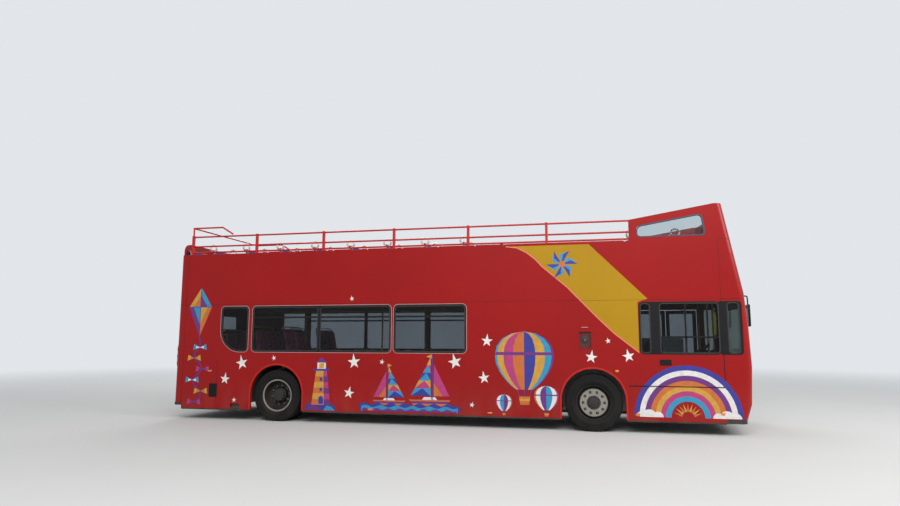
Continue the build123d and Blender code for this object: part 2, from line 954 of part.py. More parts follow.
driver_seat_back = 1500
steering_hub = 830
dash_rear_x = behind_nose(dash_rear)
dash_z = (floor_z, dash_top_z)
dash_front = front_body([dash_z[0], 500, dash_z[1]], wall + seat_gap, dash_rear_x)
driver_y = 540 - half
driver_seat_x = behind_nose(driver_seat_back)
driver_seat_half = 250
driver_cushion = 470
driver_plinth = 400
driver_back = 1150
driver_thickness = 90
hub_height = 730
wheel_hub = (behind_nose(steering_hub), driver_y, podium_z + hub_height)
wheel_tilt = 35
steering_radius = 225
dash_overhang = 150
knee_depth = 330
knee_top_depth = 130
knee_top_drop = 200
lip_drop = 120
dash_side_y = podium_inner_y + dash_overhang
with BuildPart() as dashboard:
    add(dash_front)
    block((0, nose_x), (dash_side_y, half), (floor_z, dash_z[1] + 1), mode=Mode.SUBTRACT)
    block((0, nose_x), (-half, half), (floor_z, podium_z), mode=Mode.SUBTRACT)
    with BuildSketch(side_plane(dash_side_y + 1)):
        with BuildLine():
            Polyline(
                (dash_rear_x - 1, podium_z - 1),
                (dash_rear_x + knee_depth, podium_z - 1),
                (dash_rear_x + knee_top_depth, dash_z[1] - knee_top_drop),
                (dash_rear_x - 1, dash_z[1] - lip_drop),
                close=True,
            )
        make_face()
    extrude(amount=width, mode=Mode.SUBTRACT)
save("dashboard", dashboard.part)

column_axis = Vector(sin(radians(wheel_tilt)), 0, -cos(radians(wheel_tilt)))
column_top = Vector(*wheel_hub) + column_axis * 40
column_foot = Vector(*wheel_hub) + column_axis * 430
shaft_top = Vector(*wheel_hub) - column_axis * 18
shaft_radius = 12
with BuildPart() as steering_column:
    rod(tuple(column_top), tuple(column_foot), 32)
    rod(tuple(shaft_top), tuple(column_top), shaft_radius)
    block((0, nose_x), (-half, half), (0, dash_z[1] + seat_gap), mode=Mode.SUBTRACT)
save("steering_column", steering_column.part)

steering_plane = Plane(origin=wheel_hub, x_dir=(0, 1, 0), z_dir=column_axis * -1)
with BuildPart() as steering_wheel:
    with BuildSketch(steering_plane):
        RegularPolygon(steering_radius, 32)
        RegularPolygon(steering_radius - 30, 32, mode=Mode.SUBTRACT)
        Circle(45)
        with PolarLocations((steering_radius + 20) / 2, 3, start_angle=-90):
            Rectangle(steering_radius - 60, 26)
        Circle(shaft_radius + running_fit, mode=Mode.SUBTRACT)
    extrude(amount=24)
save("steering_wheel", steering_wheel.part)

with BuildPart() as driver_seat:
    cushion_low = podium_z + driver_plinth
    back_top = podium_z + driver_back
    with BuildSketch(side_plane(driver_y + driver_seat_half)):
        with BuildLine():
            Polyline(
                (driver_seat_x, cushion_low - 20),
                (driver_seat_x + driver_cushion, cushion_low),
                (driver_seat_x + driver_cushion, cushion_low + driver_thickness + 10),
                (driver_seat_x + driver_thickness + 20, cushion_low + driver_thickness),
                (driver_seat_x, back_top),
                (driver_seat_x - driver_thickness, back_top - 10),
                close=True,
            )
        make_face()
    extrude(amount=2 * driver_seat_half)
    block(
        (driver_seat_x + driver_thickness, driver_seat_x + driver_cushion - 70),
        (driver_y - driver_seat_half + 90, driver_y + driver_seat_half - 90),
        (podium_z, cushion_low + 1),
    )
save("driver_seat", driver_seat.part)

# Entrance doors

door_rear_x = behind_nose(door_rear)
door_front_x = behind_nose(door_front)
leaf_half = (door_front_x - door_rear_x + 2 * column_set - door_gap) / 4
leaf_y = half - door_thickness / 2 - 13
column_y = leaf_y - column_offset
leaf_z = (door_z[0] + door_gap, door_z[1] - door_gap)
arm_z = (floor_z + 7, leaf_z[1] + 7)


def door_arm(name, jamb_x, forward):
    """Upright column at one jamb with its lower and upper arm, doors shut."""
    column_x = jamb_x - forward * column_set
    pivot_x = column_x + forward * leaf_half
    with BuildPart() as arm:
        rod(
            (column_x, column_y, floor_z + seat_gap),
            (column_x, column_y, upper_low - seat_gap),
            column_radius,
        )
        for z in arm_z:
            block(
                sorted((column_x, pivot_x)),
                (column_y - arm_width / 2, column_y + arm_width / 2),
                (z, z + arm_thickness),
            )
            rod(
                (pivot_x, column_y, z),
                (pivot_x, column_y, z + arm_thickness),
                arm_width / 2 + 5,
            )
            rod(
                (pivot_x, column_y, z - 1),
                (pivot_x, column_y, z + arm_thickness + 1),
                pivot_radius + running_fit,
                mode=Mode.SUBTRACT,
            )
    save(name, arm.part)


def door_leaf(suffix, jamb_x, forward):
    """Glazed leaf, shut, with the pivots that the arms carry."""
    column_x = jamb_x - forward * column_set
    pivot_x = column_x + forward * leaf_half
    near_x = column_x + forward * leaf_start
    far_x = column_x + forward * 2 * leaf_half
    y = (leaf_y - door_thickness / 2, leaf_y + door_thickness / 2)
    bracket_y = (column_y - pivot_radius - 6, y[0] + 1)
    lower = (arm_z[0], leaf_z[0])
    upper = (leaf_z[1], arm_z[1] + arm_thickness)
    with BuildPart() as leaf:
        block(sorted((near_x, far_x)), y, leaf_z)
        inner = sorted((near_x + forward * door_frame, far_x - forward * door_frame))
        block(inner, y, (leaf_z[0] + 2 * door_frame, leaf_z[1] - door_frame), mode=Mode.SUBTRACT)
        for start, end, low in ((lower[0], lower[1], 1), (upper[0], upper[1], 0)):
            rod((pivot_x, column_y, start), (pivot_x, column_y, end), pivot_radius)
            bracket = (leaf_z[0], leaf_z[0] + 40) if low else (leaf_z[1] - 40, leaf_z[1])
            block((pivot_x - 20, pivot_x + 20), bracket_y, bracket)
    save(f"door_leaf_{suffix}", leaf.part)
    with BuildPart() as pane:
        block(
            (inner[0] + glass_fit, inner[1] - glass_fit),
            (leaf_y - glass_thickness / 2, leaf_y + glass_thickness / 2),
            (leaf_z[0] + 2 * door_frame + glass_fit, leaf_z[1] - door_frame - glass_fit),
        )
    save(f"door_glass_{suffix}", pane.part)


door_arm("door_arm_rear", door_rear_x, 1)
door_arm("door_arm_front", door_front_x, -1)
door_leaf("rear", door_rear_x, 1)
door_leaf("front", door_front_x, -1)

# Chassis

rail_inner_y = 380
rail_outer_y = 460
chassis_low = 225
kick_x = rear_step_x - floor_thickness
frame_rear_x = rear_x + 60
frame_front_x = front_seam_x
cross_width = 70
cross_height = 20
cross_clear = wheel_box_half + 60
axle_spring_x = 420
spring_y = rear_outer_y - twin_spacing - 263
spring_radius = 85
rear_frame_low = 600
cross_places = [
    frame_front_x - 100,
    front_axle_x + cross_clear,
    front_axle_x - cross_clear,
    (front_axle_x + kick_x) / 2 + 500,
    (front_axle_x + kick_x) / 2 - 700,
    kick_x + 100,
]
rear_cross_places = [kick_x - 100, rear_axle_x - 660, frame_rear_x + 45]
engine_z = (350, 1100)
engine_x = (rear_x + 175, rear_x + 855)
engine_half = 380
engine_bearer_z = 300
bearer_half = 35
tow_radius = 20
tow_half = 60
tow_thickness = 25
tow_front_x = frame_front_x + 120
tow_rear_x = engine_x[0] - 60
jack_pad_half = 70
jack_pad_depth = 12
jack_pad_places = (front_axle_x + 1081, rear_axle_x + 936)
with BuildPart() as chassis_frame:
    rail_z = (chassis_low, floor_low - cross_height - seat_gap)
    kick_z = (chassis_low, rear_floor_low - cross_height - seat_gap)
    for side in (-1, 1):
        y = sorted((side * rail_inner_y, side * rail_outer_y))
        block((kick_x - 80, frame_front_x), y, rail_z)
        block((kick_x - 80, kick_x), y, kick_z)
        block((frame_rear_x, kick_x), y, (rear_frame_low, kick_z[1]))
        for x in jack_pad_places:
            block((x - jack_pad_half, x + jack_pad_half), y, (chassis_low - jack_pad_depth, chassis_low))
    for x in cross_places:
        block(
            (x - cross_width / 2, x + cross_width / 2),
            (-inner_y, inner_y),
            (floor_low - cross_height, floor_low),
        )
    for x in rear_cross_places:
        block(
            (x - cross_width / 2, x + cross_width / 2),
            (-inner_y, inner_y),
            (kick_z[1] + seat_gap, rear_floor_low),
        )
save("chassis_frame", chassis_frame.part)

with BuildPart() as engine_bearers:
    for x in (engine_x[0] + 60, engine_x[1] - 60):
        block(
            (x - bearer_half, x + bearer_half),
            (-rail_outer_y, rail_outer_y),
            (engine_bearer_z, engine_z[0]),
        )
        for side in (-1, 1):
            block(
                (x - bearer_half, x + bearer_half),
                sorted((side * rail_inner_y, side * rail_outer_y)),
                (engine_bearer_z, rear_frame_low - seat_gap),
            )
save("engine_bearers", engine_bearers.part)

with BuildPart() as towing_plates:
    block(
        (frame_front_x - 60, frame_front_x),
        (seat_gap - rail_inner_y, rail_inner_y - seat_gap),
        (chassis_low, chassis_low + tow_thickness),
    )
    block(
        (frame_front_x - 1, tow_front_x + tow_half),
        (-tow_half, tow_half),
        (chassis_low, chassis_low + tow_thickness),
    )
    rear_low = engine_bearer_z - seat_gap - tow_thickness
    block(
        (tow_rear_x - tow_half, engine_x[0] + 60),
        (-tow_half, tow_half),
        (rear_low, rear_low + tow_thickness),
    )
    for x, z in ((tow_front_x, chassis_low), (tow_rear_x, rear_low)):
        rod((x, 0, z - 1), (x, 0, z + tow_thickness + 1), tow_radius, mode=Mode.SUBTRACT)
save("towing_plates", towing_plates.part)

engine_chamfer = 90
with BuildPart() as engine_block:
    block(engine_x, (-engine_half, engine_half), engine_z)
    chamfer(engine_block.edges().filter_by(Axis.X), engine_chamfer)
save("engine_block", engine_block.part)

# Front axle, knuckles and track rod

beam_low = 150
beam_height = 60
beam_half = 45
beam_knee = kingpin_y - 280
eye_radius = 42
eye_half = 60
eye_z = (tyre_radius - eye_half, tyre_radius + eye_half)
with BuildPart() as front_axle:
    with BuildSketch(Plane.YZ.offset(front_axle_x - beam_half)) as beam:
        with BuildLine():
            Polyline(
                (0, beam_low),
                (beam_knee, beam_low),
                (kingpin_y - 150, eye_z[0]),
                (kingpin_y, eye_z[0]),
                (kingpin_y, eye_z[1]),
                (kingpin_y - 98, eye_z[1]),
                (kingpin_y - 190, eye_z[0] + beam_height),
                (beam_knee - 20, beam_low + beam_height),
                (0, beam_low + beam_height),
                close=True,
            )
        make_face()
        mirror(about=Plane.YZ)
    extrude(amount=2 * beam_half)
    for side in (-1, 1):
        y = side * kingpin_y
        block(
            (front_axle_x - beam_half - 1, front_axle_x + beam_half + 1),
            sorted((y - side * 20, y + side)),
            eye_z,
            mode=Mode.SUBTRACT,
        )
        rod((front_axle_x, y, eye_z[0]), (front_axle_x, y, eye_z[1]), eye_radius)
        rod(
            (front_axle_x, y, eye_z[0] - 1),
            (front_axle_x, y, eye_z[1] + 1),
            kingpin_radius + running_fit,
            mode=Mode.SUBTRACT,
        )
save("front_axle", front_axle.part)

fork_gap = 5
fork_thickness = 30
fork_back = 60
stub_length = 238
rod_pin_radius = 12
rod_eye_half = 18
arm_drop_x = front_axle_x - steer_arm


def knuckle(name, side):
    """Fork round the beam's eye with kingpin, stub axle and the arm for the track rod."""
    y = side * kingpin_y
    web_y = sorted((y + side * fork_back, y + side * (fork_back + fork_thickness)))
    fork_y = sorted((y, y + side * (fork_back + fork_thickness)))
    low = (eye_z[0] - fork_gap - fork_thickness, eye_z[0] - fork_gap)
    high = (eye_z[1] + fork_gap, eye_z[1] + fork_gap + fork_thickness)
    with BuildPart() as part:
        rod((front_axle_x, y, low[0]), (front_axle_x, y, high[1]), kingpin_radius)
        for z in (low, high):
            rod((front_axle_x, y, z[0]), (front_axle_x, y, z[1]), eye_radius)
            block((front_axle_x - eye_radius, front_axle_x + eye_radius), fork_y, z)
        block((front_axle_x - eye_radius, front_axle_x + eye_radius), web_y, (low[0], high[1]))
        rod(
            (front_axle_x, web_y[0] if side > 0 else web_y[1], tyre_radius),
            (front_axle_x, side * (kingpin_y + stub_length), tyre_radius),
            stub_radius,
        )
        block((arm_drop_x - 20, front_axle_x), (y - 18, y + 18), low)
        block(
            (arm_drop_x - 20, arm_drop_x + 20),
            (y - 18, y + 18),
            (track_rod_z + rod_eye_half + fork_gap, low[1]),
        )
        rod(
            (arm_drop_x, y, track_rod_z - rod_eye_half - 6),
            (arm_drop_x, y, low[0]),
            rod_pin_radius,
        )
    save(name, part.part)


knuckle("knuckle_nearside", 1)
knuckle("knuckle_offside", -1)

rod_half = 14
with BuildPart() as track_rod:
    block(
        (arm_drop_x - rod_half, arm_drop_x + rod_half),
        (-kingpin_y, kingpin_y),
        (track_rod_z - rod_half, track_rod_z + rod_half),
    )
    for side in (-1, 1):
        ends = (track_rod_z - rod_eye_half, track_rod_z + rod_eye_half)
        y = side * kingpin_y
        rod((arm_drop_x, y, ends[0]), (arm_drop_x, y, ends[1]), 26)
        rod(
            (arm_drop_x, y, ends[0] - 1),
            (arm_drop_x, y, ends[1] + 1),
            rod_pin_radius + (running_fit if side > 0 else 0.5),
            mode=Mode.SUBTRACT,
        )
save("track_rod", track_rod.part)

# Rear axle and air springs

tube_radius = 75
tube_half = rear_outer_y - twin_spacing - 193
spindle_radius = 50
spindle_end = rear_outer_y + 52
bowl_radius = 165
bowl_half = 140
perch_z = (300, 340)
perch_half = 60
with BuildPart() as rear_axle:
    with BuildSketch(Plane.YZ.offset(rear_axle_x)):
        with BuildLine():
            Polyline(
                (-spindle_end, tyre_radius),
                (-spindle_end, tyre_radius + spindle_radius),
                (-tube_half, tyre_radius + spindle_radius),
                (-tube_half, tyre_radius + tube_radius),
                (-bowl_half, tyre_radius + tube_radius),
                (-bowl_half, tyre_radius + bowl_radius),
                (bowl_half, tyre_radius + bowl_radius),
                (bowl_half, tyre_radius + tube_radius),
                (tube_half, tyre_radius + tube_radius),
                (tube_half, tyre_radius + spindle_radius),
                (spindle_end, tyre_radius + spindle_radius),
                (spindle_end, tyre_radius),
                close=True,
            )
        make_face()
    revolve(axis=Axis((rear_axle_x, 0, tyre_radius), (0, 1, 0)))
    for side in (-1, 1):
        y = sorted((side * (spring_y - perch_half), side * (spring_y + perch_half)))
        block(
            (rear_axle_x - axle_spring_x - 90, rear_axle_x + axle_spring_x + 90),
            y,
            perch_z,
        )
        block((rear_axle_x - 50, rear_axle_x + 50), y, (perch_z[1] - 1, tyre_radius))
save("rear_axle", rear_axle.part)

pad_half = 40
with BuildPart() as air_springs:
    for side in (-1, 1):
        for end in (-1, 1):
            x = rear_axle_x + end * axle_spring_x
            y = side * spring_y
            rod(
                (x, y, perch_z[1] + seat_gap),
                (x, y, rear_frame_low - seat_gap),
                spring_radius,
            )
        pad_y = sorted((side * (rail_inner_y + 5), side * (rail_outer_y - 5)))
        block(
            (front_axle_x - pad_half, front_axle_x + pad_half),
            pad_y,
            (beam_low + beam_height + seat_gap, chassis_low - seat_gap),
        )
save("air_springs", air_springs.part)

# Wheels

bead_y = 100
wheel_fit = 0.3
rim_lip = 24
dish_radius = rim_radius - wheel_fit - rim_lip


def ring(profile, x, y, side):
    """Turned piece about a wheel's axle from a half section: distance outboard, radius."""
    centre = (x, side * y, tyre_radius)
    with BuildPart() as turned:
        with BuildSketch(Plane.YZ.offset(x)):
            with BuildLine():
                Polyline(*[(side * (y + out), tyre_radius + r) for out, r in profile], close=True)
            make_face()
        revolve(axis=Axis(centre, (0, 1, 0)))
    return turned.part


tyre_half = tyre_width / 2 - 6
tyre_section = [
    (-tyre_half, rim_radius),
    (-tyre_half, tyre_radius),
    (tyre_half, tyre_radius),
    (tyre_half, rim_radius),
]
front_stub = stub_length + kingpin_y - front_wheel_y + 5
rear_stub = spindle_end - rear_outer_y + 5
rim_outer = rim_radius - wheel_fit
drum_radius = 190
hub_radius = 105
front_wheel_section = [
    (-bead_y, rim_outer),
    (bead_y, rim_outer),
    (bead_y, dish_radius),
    (60, dish_radius),
    (60, hub_radius),
    (115, hub_radius),
    (115, 0),
    (front_stub, 0),
    (front_stub, stub_radius + running_fit),
    (-5, stub_radius + running_fit),
    (-5, drum_radius),
    (-bead_y, drum_radius),
]
rear_wheel_section = [
    (-bead_y - twin_spacing, rim_outer),
    (bead_y, rim_outer),
    (bead_y, dish_radius),
    (-60, dish_radius),
    (-60, hub_radius),
    (75, hub_radius),
    (75, 0),
    (rear_stub, 0),
    (rear_stub, spindle_radius + running_fit),
    (-bead_y - twin_spacing, spindle_radius + running_fit),
]
for side, where in ((1, "nearside"), (-1, "offside")):
    save(f"tyre_front_{where}", ring(tyre_section, front_axle_x, front_wheel_y, side))
    save(f"rim_front_{where}", ring(front_wheel_section, front_axle_x, front_wheel_y, side))
    outer_ring = ring(tyre_section, rear_axle_x, rear_outer_y, side)
    inner_ring = ring(tyre_section, rear_axle_x, rear_outer_y - twin_spacing, side)
    with BuildPart() as twin_tyres:
        add(outer_ring)
        add(inner_ring)
    save(f"tyres_rear_{where}", twin_tyres.part)
    save(f"rim_rear_{where}", ring(rear_wheel_section, rear_axle_x, rear_outer_y, side))

# Lamps, mirrors, sign box

lamp_skin = front_skin([500, 1100], 4, wall - 4, front_seam_x)
lamp_blocks = []
for side in (-1, 1):
    low, high = sorted((side * lamp_y[0], side * lamp_y[1]))
    lamp_blocks.append((low + seat_gap, high - seat_gap))
with BuildPart() as lamp_cut:
    for y in lamp_blocks:
        block((windscreen_x - 200, nose_x), y, (lamp_z[0] + seat_gap, lamp_z[1] - seat_gap))
with BuildPart() as headlamps:
    add(lamp_skin)
    add(lamp_cut.part, mode=Mode.INTERSECT)
save("headlamps", headlamps.part)

tail_y = (110 - half, half - 110)
tail_z = (1000, 1400)
tail_width = 130
tail_depth = 15
with BuildPart() as tail_lamps:
    for y in tail_y:
        block(
            (rear_x - tail_depth, rear_x),
            (y - tail_width / 2, y + tail_width / 2),
            tail_z,
        )
save("tail_lamps", tail_lamps.part)

mirror_inset = 450
mirror_y = half - mirror_inset
mirror_arm_half = 11
mirror_z = (1750, 2130)
mirror_x = nose_x - 45
mirror_depth = 40
mirror_arm_x = mirror_x + mirror_depth / 2
mount_gap = 2.4
with BuildPart() as mirrors:
    for side in (-1, 1):
        y = side * mirror_y
        mount_z = 2270
        sag = bow_radius - sqrt(bow_radius**2 - y**2)
        mount_x = nose_x - setback_at(mount_z) - sag + mount_gap
        block(
            (mirror_x, mirror_x + mirror_depth),
            (y - 110, y + 110),
            mirror_z,
        )
        block(
            (mirror_arm_x - mirror_arm_half, mirror_arm_x + mirror_arm_half),
            (y - mirror_arm_half, y + mirror_arm_half),
            (mirror_z[1] - 1, mount_z + mirror_arm_half),
        )
        block(
            (mount_x, mirror_arm_x),
            (y - mirror_arm_half, y + mirror_arm_half),
            (mount_z - mirror_arm_half, mount_z + mirror_arm_half),
        )
save("mirrors", mirrors.part)

sign_box_body = front_body(
    [upper_floor_z, sign_z[1] + 60], wall + seat_gap, front_seam_x + 100
)
with BuildPart() as sign_box:
    add(sign_box_body)
    for side in (-1, 1):
        block(
            (0, nose_x),
            sorted((side * (sign_half + 40), side * half)),
            (upper_floor_z, sign_z[1] + 60),
            mode=Mode.SUBTRACT,
        )
save("sign_box", sign_box.part)
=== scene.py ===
# %% [markdown]
# Open top double decker bus.
# The solids of the bus come ready made, in metres, with X forwards, Y to the nearside and Z up.
# This file gives them their paint, glass, rubber and cloth, and adds what is too fine for the
# solids: gaskets, printed vinyl, tyre tread, wheel nuts, seat cushions and lamps.

# %% Load the solids
import json
import math

import bmesh
import bpy
from mathutils import Matrix, Vector

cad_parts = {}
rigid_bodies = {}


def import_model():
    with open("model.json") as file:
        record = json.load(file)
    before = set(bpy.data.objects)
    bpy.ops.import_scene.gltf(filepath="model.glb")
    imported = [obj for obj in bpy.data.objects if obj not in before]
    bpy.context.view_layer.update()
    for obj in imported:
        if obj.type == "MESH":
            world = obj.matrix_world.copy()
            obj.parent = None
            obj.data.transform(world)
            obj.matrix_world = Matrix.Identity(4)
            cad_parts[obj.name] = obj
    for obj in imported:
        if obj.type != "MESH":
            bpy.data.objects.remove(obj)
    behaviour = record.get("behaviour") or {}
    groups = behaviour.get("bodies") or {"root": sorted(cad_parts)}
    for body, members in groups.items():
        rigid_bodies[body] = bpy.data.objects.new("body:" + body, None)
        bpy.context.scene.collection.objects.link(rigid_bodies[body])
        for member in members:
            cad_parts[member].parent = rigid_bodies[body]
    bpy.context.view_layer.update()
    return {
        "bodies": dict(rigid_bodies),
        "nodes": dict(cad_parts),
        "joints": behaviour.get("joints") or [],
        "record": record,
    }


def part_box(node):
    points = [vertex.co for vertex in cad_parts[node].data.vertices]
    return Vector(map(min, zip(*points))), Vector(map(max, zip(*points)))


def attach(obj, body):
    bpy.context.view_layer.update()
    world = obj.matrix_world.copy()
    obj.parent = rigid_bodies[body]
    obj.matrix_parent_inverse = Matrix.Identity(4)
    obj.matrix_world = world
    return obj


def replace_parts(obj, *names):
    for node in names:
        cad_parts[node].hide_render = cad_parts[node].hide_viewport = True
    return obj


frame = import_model()
nodes = frame["nodes"]

# %% [markdown]
# The camera.
# A photograph is matched first, because every later choice is judged through it. The two wheels,
# the waist and the skirt fix the place, the turn and the lens of the camera. The camera stands
# at eye height, a little ahead of the middle, and looks slightly up and towards the rear.

# %% Camera
camera_place = Vector((2.857, -12.517, 1.545))
turn_to_rear = math.radians(13.11)
look_up = math.radians(7.63)
tilt = math.radians(0.08)
frame_width_px = 900
focal_px = 640
sensor_mm = 36


def aim_camera():
    """Camera at the photograph's place, with its axes built from the three angles."""
    ahead = Vector(
        (
            -math.sin(turn_to_rear) * math.cos(look_up),
            math.cos(turn_to_rear) * math.cos(look_up),
            math.sin(look_up),
        )
    )
    right = Vector((math.cos(turn_to_rear), math.sin(turn_to_rear), 0))
    up = right.cross(ahead)
    rolled = right * math.cos(tilt) + up * math.sin(tilt)
    up = up * math.cos(tilt) - right * math.sin(tilt)
    data = bpy.data.cameras.new("camera")
    data.sensor_width = sensor_mm
    data.lens = sensor_mm * focal_px / frame_width_px
    data.clip_end = 500
    camera = bpy.data.objects.new("camera", data)
    bpy.context.scene.collection.objects.link(camera)
    axes = Matrix((rolled, up, -ahead)).transposed()
    camera.matrix_world = Matrix.Translation(camera_place) @ axes.to_4x4()
    bpy.context.scene.camera = camera
    return camera


camera = aim_camera()
print("lens:", round(camera.data.lens, 2), "mm")

# %% [markdown]
# Small helpers.
# Colours are written as they look on screen, from 0 to 255, and turned into the linear values
# that the shader wants. A piece starts as a bmesh, becomes a mesh object at the origin, gets its
# material and rides on the body that carries it. Shapes that repeat are made once and gathered
# into one bmesh, so that a whole row of them is a single piece.

# %% Helpers for colours and pieces


def screen(red, green, blue):
    """Linear colour, with an alpha of 1, from a colour as seen on screen."""
    linear = []
    for value in (red, green, blue):
        share = value / 255
        if share <= 0.04045:
            linear.append(share / 12.92)
        else:
            linear.append(((share + 0.055) / 1.055) ** 2.4)
    return (*linear, 1)


def finish_piece(name, shape, material, body="root", smooth_angle=None):
    """Mesh object from a bmesh, with outward faces, one or more materials and a body."""
    bmesh.ops.remove_doubles(shape, verts=shape.verts, dist=1e-6)
    bmesh.ops.recalc_face_normals(shape, faces=shape.faces)
    mesh = bpy.data.meshes.new(name)
    shape.to_mesh(mesh)
    shape.free()
    for one in material if isinstance(material, list) else [material]:
        mesh.materials.append(one)
    if smooth_angle is not None:
        mesh.shade_smooth()
        mesh.set_sharp_from_angle(angle=math.radians(smooth_angle))
    piece = bpy.data.objects.new(name, mesh)
    bpy.context.scene.collection.objects.link(piece)
    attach(piece, body)
    print(f"{name}: {len(mesh.polygons)} faces, on {body}")
    return piece


# %% [markdown]
# Moves and plain bodies.
# A few short names stand for the moves that come back in every cell. Most pieces start from one
# of three bodies: a box with rounded edges, a profile turned about an axle, or a round bar.

# %% Helpers for moves and plain bodies


def about(middle, half):
    """Low and high place at the same distance from a middle."""
    return (middle - half, middle + half)


def outboard(side, first, second):
    """Low and high place along Y of two distances from the bus's middle on one side."""
    return sorted((side * first, side * second))


def at(x, y, z):
    """Matrix that moves by three distances."""
    return Matrix.Translation((x, y, z))


def rotation(degrees, axis):
    """Matrix that turns about one axis."""
    return Matrix.Rotation(math.radians(degrees), 4, axis)


def transform(part, matrix):
    """Moves a whole bmesh by a matrix."""
    bmesh.ops.transform(part, matrix=matrix, verts=part.verts)


def slide(part, along):
    """Moves a whole bmesh along a vector."""
    bmesh.ops.translate(part, vec=along, verts=part.verts)


def round_off(part, items, radius, steps, affect="VERTICES"):
    """Rounds some corners or edges."""
    bmesh.ops.bevel(
        part, geom=items, offset=radius, segments=steps, profile=0.5, affect=affect, material=-1
    )


def gather(shape, part, place=Matrix.Identity(4), keep=False):
    """Copies one bmesh into another, moved by a matrix."""
    mesh = bpy.data.meshes.new("gathered")
    part.to_mesh(mesh)
    mesh.transform(place)
    if place.determinant() < 0:
        mesh.flip_normals()
    shape.from_mesh(mesh)
    bpy.data.meshes.remove(mesh)
    if not keep:
        part.free()


def coat_node(node, material):
    """Gives one solid its material."""
    mesh = nodes[node].data
    mesh.materials.clear()
    mesh.materials.append(material)


def box_shape(x, y, z, bevel=0.0, segments=2):
    """Box between two places along each axis, with its edges rounded."""
    part = bmesh.new()
    bmesh.ops.create_cube(part, size=1)
    size = Vector((x[1] - x[0], y[1] - y[0], z[1] - z[0]))
    middle = Vector((x[0] + x[1], y[0] + y[1], z[0] + z[1])) / 2
    bmesh.ops.scale(part, vec=size, verts=part.verts)
    slide(part, middle)
    if bevel:
        round_off(part, part.edges[:], bevel, segments, "EDGES")
    return part


def add_box(shape, *box):
    """Adds one box to a shape."""
    gather(shape, box_shape(*box))


origin = (0, 0, 0)


def turned(profile, centre, side, steps=96):
    """Closed shape turned about a wheel's axle from pairs: distance outboard, radius."""
    part = bmesh.new()
    verts = [
        part.verts.new((centre[0], centre[1] + side * out, centre[2] + r)) for out, r in profile
    ]
    edges = [part.edges.new(pair) for pair in zip(verts, verts[1:])]
    bmesh.ops.spin(
        part,
        geom=verts + edges,
        cent=centre,
        axis=(0, 1, 0),
        angle=math.tau,
        steps=steps,
        use_merge=True,
    )
    bmesh.ops.remove_doubles(part, verts=part.verts, dist=1e-5)
    return part


def round_bar(start, end, radius, steps=12):
    """Closed round bar between two points."""
    start, end = Vector(start), Vector(end)
    part = bmesh.new()
    bmesh.ops.create_cone(
        part,
        cap_ends=True,
        segments=steps,
        radius1=radius,
        radius2=radius,
        depth=(end - start).length,
    )
    turn = (end - start).to_track_quat("Z", "Y").to_matrix().to_4x4()
    transform(part, Matrix.Translation((start + end) / 2) @ turn)
    return part


# %% [markdown]
# Nodes in few words.
# A shader is a graph of nodes, and call by call it fills pages. So short helpers set the values
# of a node, add a node, join sockets, open a group with its own inputs, and lay out a noise.

# %% Helpers for nodes


def set_inputs(node, values):
    """Values of a node's inputs, by name or by place."""
    for label, value in values.items():
        node.inputs[label].default_value = value


def add_node(tree, kind, values=None, **settings):
    """Shader node of one kind with its settings and the values of its inputs."""
    node = tree.nodes.new(f"ShaderNode{kind}")
    for label, setting in settings.items():
        setattr(node, label, setting)
    set_inputs(node, values or {})
    return node


def wire(tree, *links):
    """Joins sockets, each pair given as node, output, node, input."""
    for start, leaving, end, entering in links:
        tree.links.new(start.outputs[leaving], end.inputs[entering])


def new_group(name, inputs, outputs):
    """Empty shader group with named sockets, and its input and output nodes."""
    group = bpy.data.node_groups.new(name, "ShaderNodeTree")
    for label, kind, value in inputs:
        made = group.interface.new_socket(
            name=label, in_out="INPUT", socket_type=f"NodeSocket{kind}"
        )
        made.default_value = value
    for label, kind in outputs:
        group.interface.new_socket(name=label, in_out="OUTPUT", socket_type=f"NodeSocket{kind}")
    return group, group.nodes.new("NodeGroupInput"), group.nodes.new("NodeGroupOutput")


def noise_node(tree, scale, detail, stretch=(1, 1, 1)):
    """Noise on the object's own metres, drawn out along an axis where asked."""
    where = add_node(tree, "TexCoord")
    mapping = add_node(tree, "Mapping", {"Scale": stretch})
    noise = add_node(tree, "TexNoise", {"Scale": scale, "Detail": detail})
    wire(tree, (where, "Object", mapping, "Vector"), (mapping, "Vector", noise, "Vector"))
    return noise


# %% [markdown]
# Shared effects.
# Three effects come back in nearly every finish. Colour drift mixes two close tones in soft
# patches, as a large painted panel has. Road film is the dust that the wheels throw, strongest
# near the ground. Surface ripple is the slight waviness of paint, rubber or cast metal. Each is
# a node group with its own inputs, so that a finish only sets its values.

# %% Node groups


def make_colour_drift():
    """Two tones mixed in soft patches, and the mask that mixes them."""
    group, entry, leave = new_group(
        "Colour drift",
        [
            ("First", "Color", (0.5, 0.5, 0.5, 1)),
            ("Second", "Color", (0.4, 0.4, 0.4, 1)),
            ("Scale", "Float", 2.0),
            ("Contrast", "Float", 1.0),
        ],
        [("Colour", "Color"), ("Mask", "Float")],
    )
    noise = noise_node(group, 2.0, 4.0)
    shift = add_node(group, "Math", operation="MULTIPLY_ADD", use_clamp=True)
    lift = add_node(group, "Math", {1: -0.5, 2: 0.5}, operation="MULTIPLY_ADD")
    mix = add_node(group, "Mix", data_type="RGBA")
    wire(
        group, (entry, "Scale", noise, "Scale"), (noise, "Fac", shift, 0),
        (entry, "Contrast", shift, 1), (entry, "Contrast", lift, 0), (lift, "Value", shift, 2),
        (shift, "Value", mix, "Factor"), (entry, "First", mix, "A"), (entry, "Second", mix, "B"),
        (mix, "Result", leave, "Colour"), (shift, "Value", leave, "Mask"),
    )
    return group


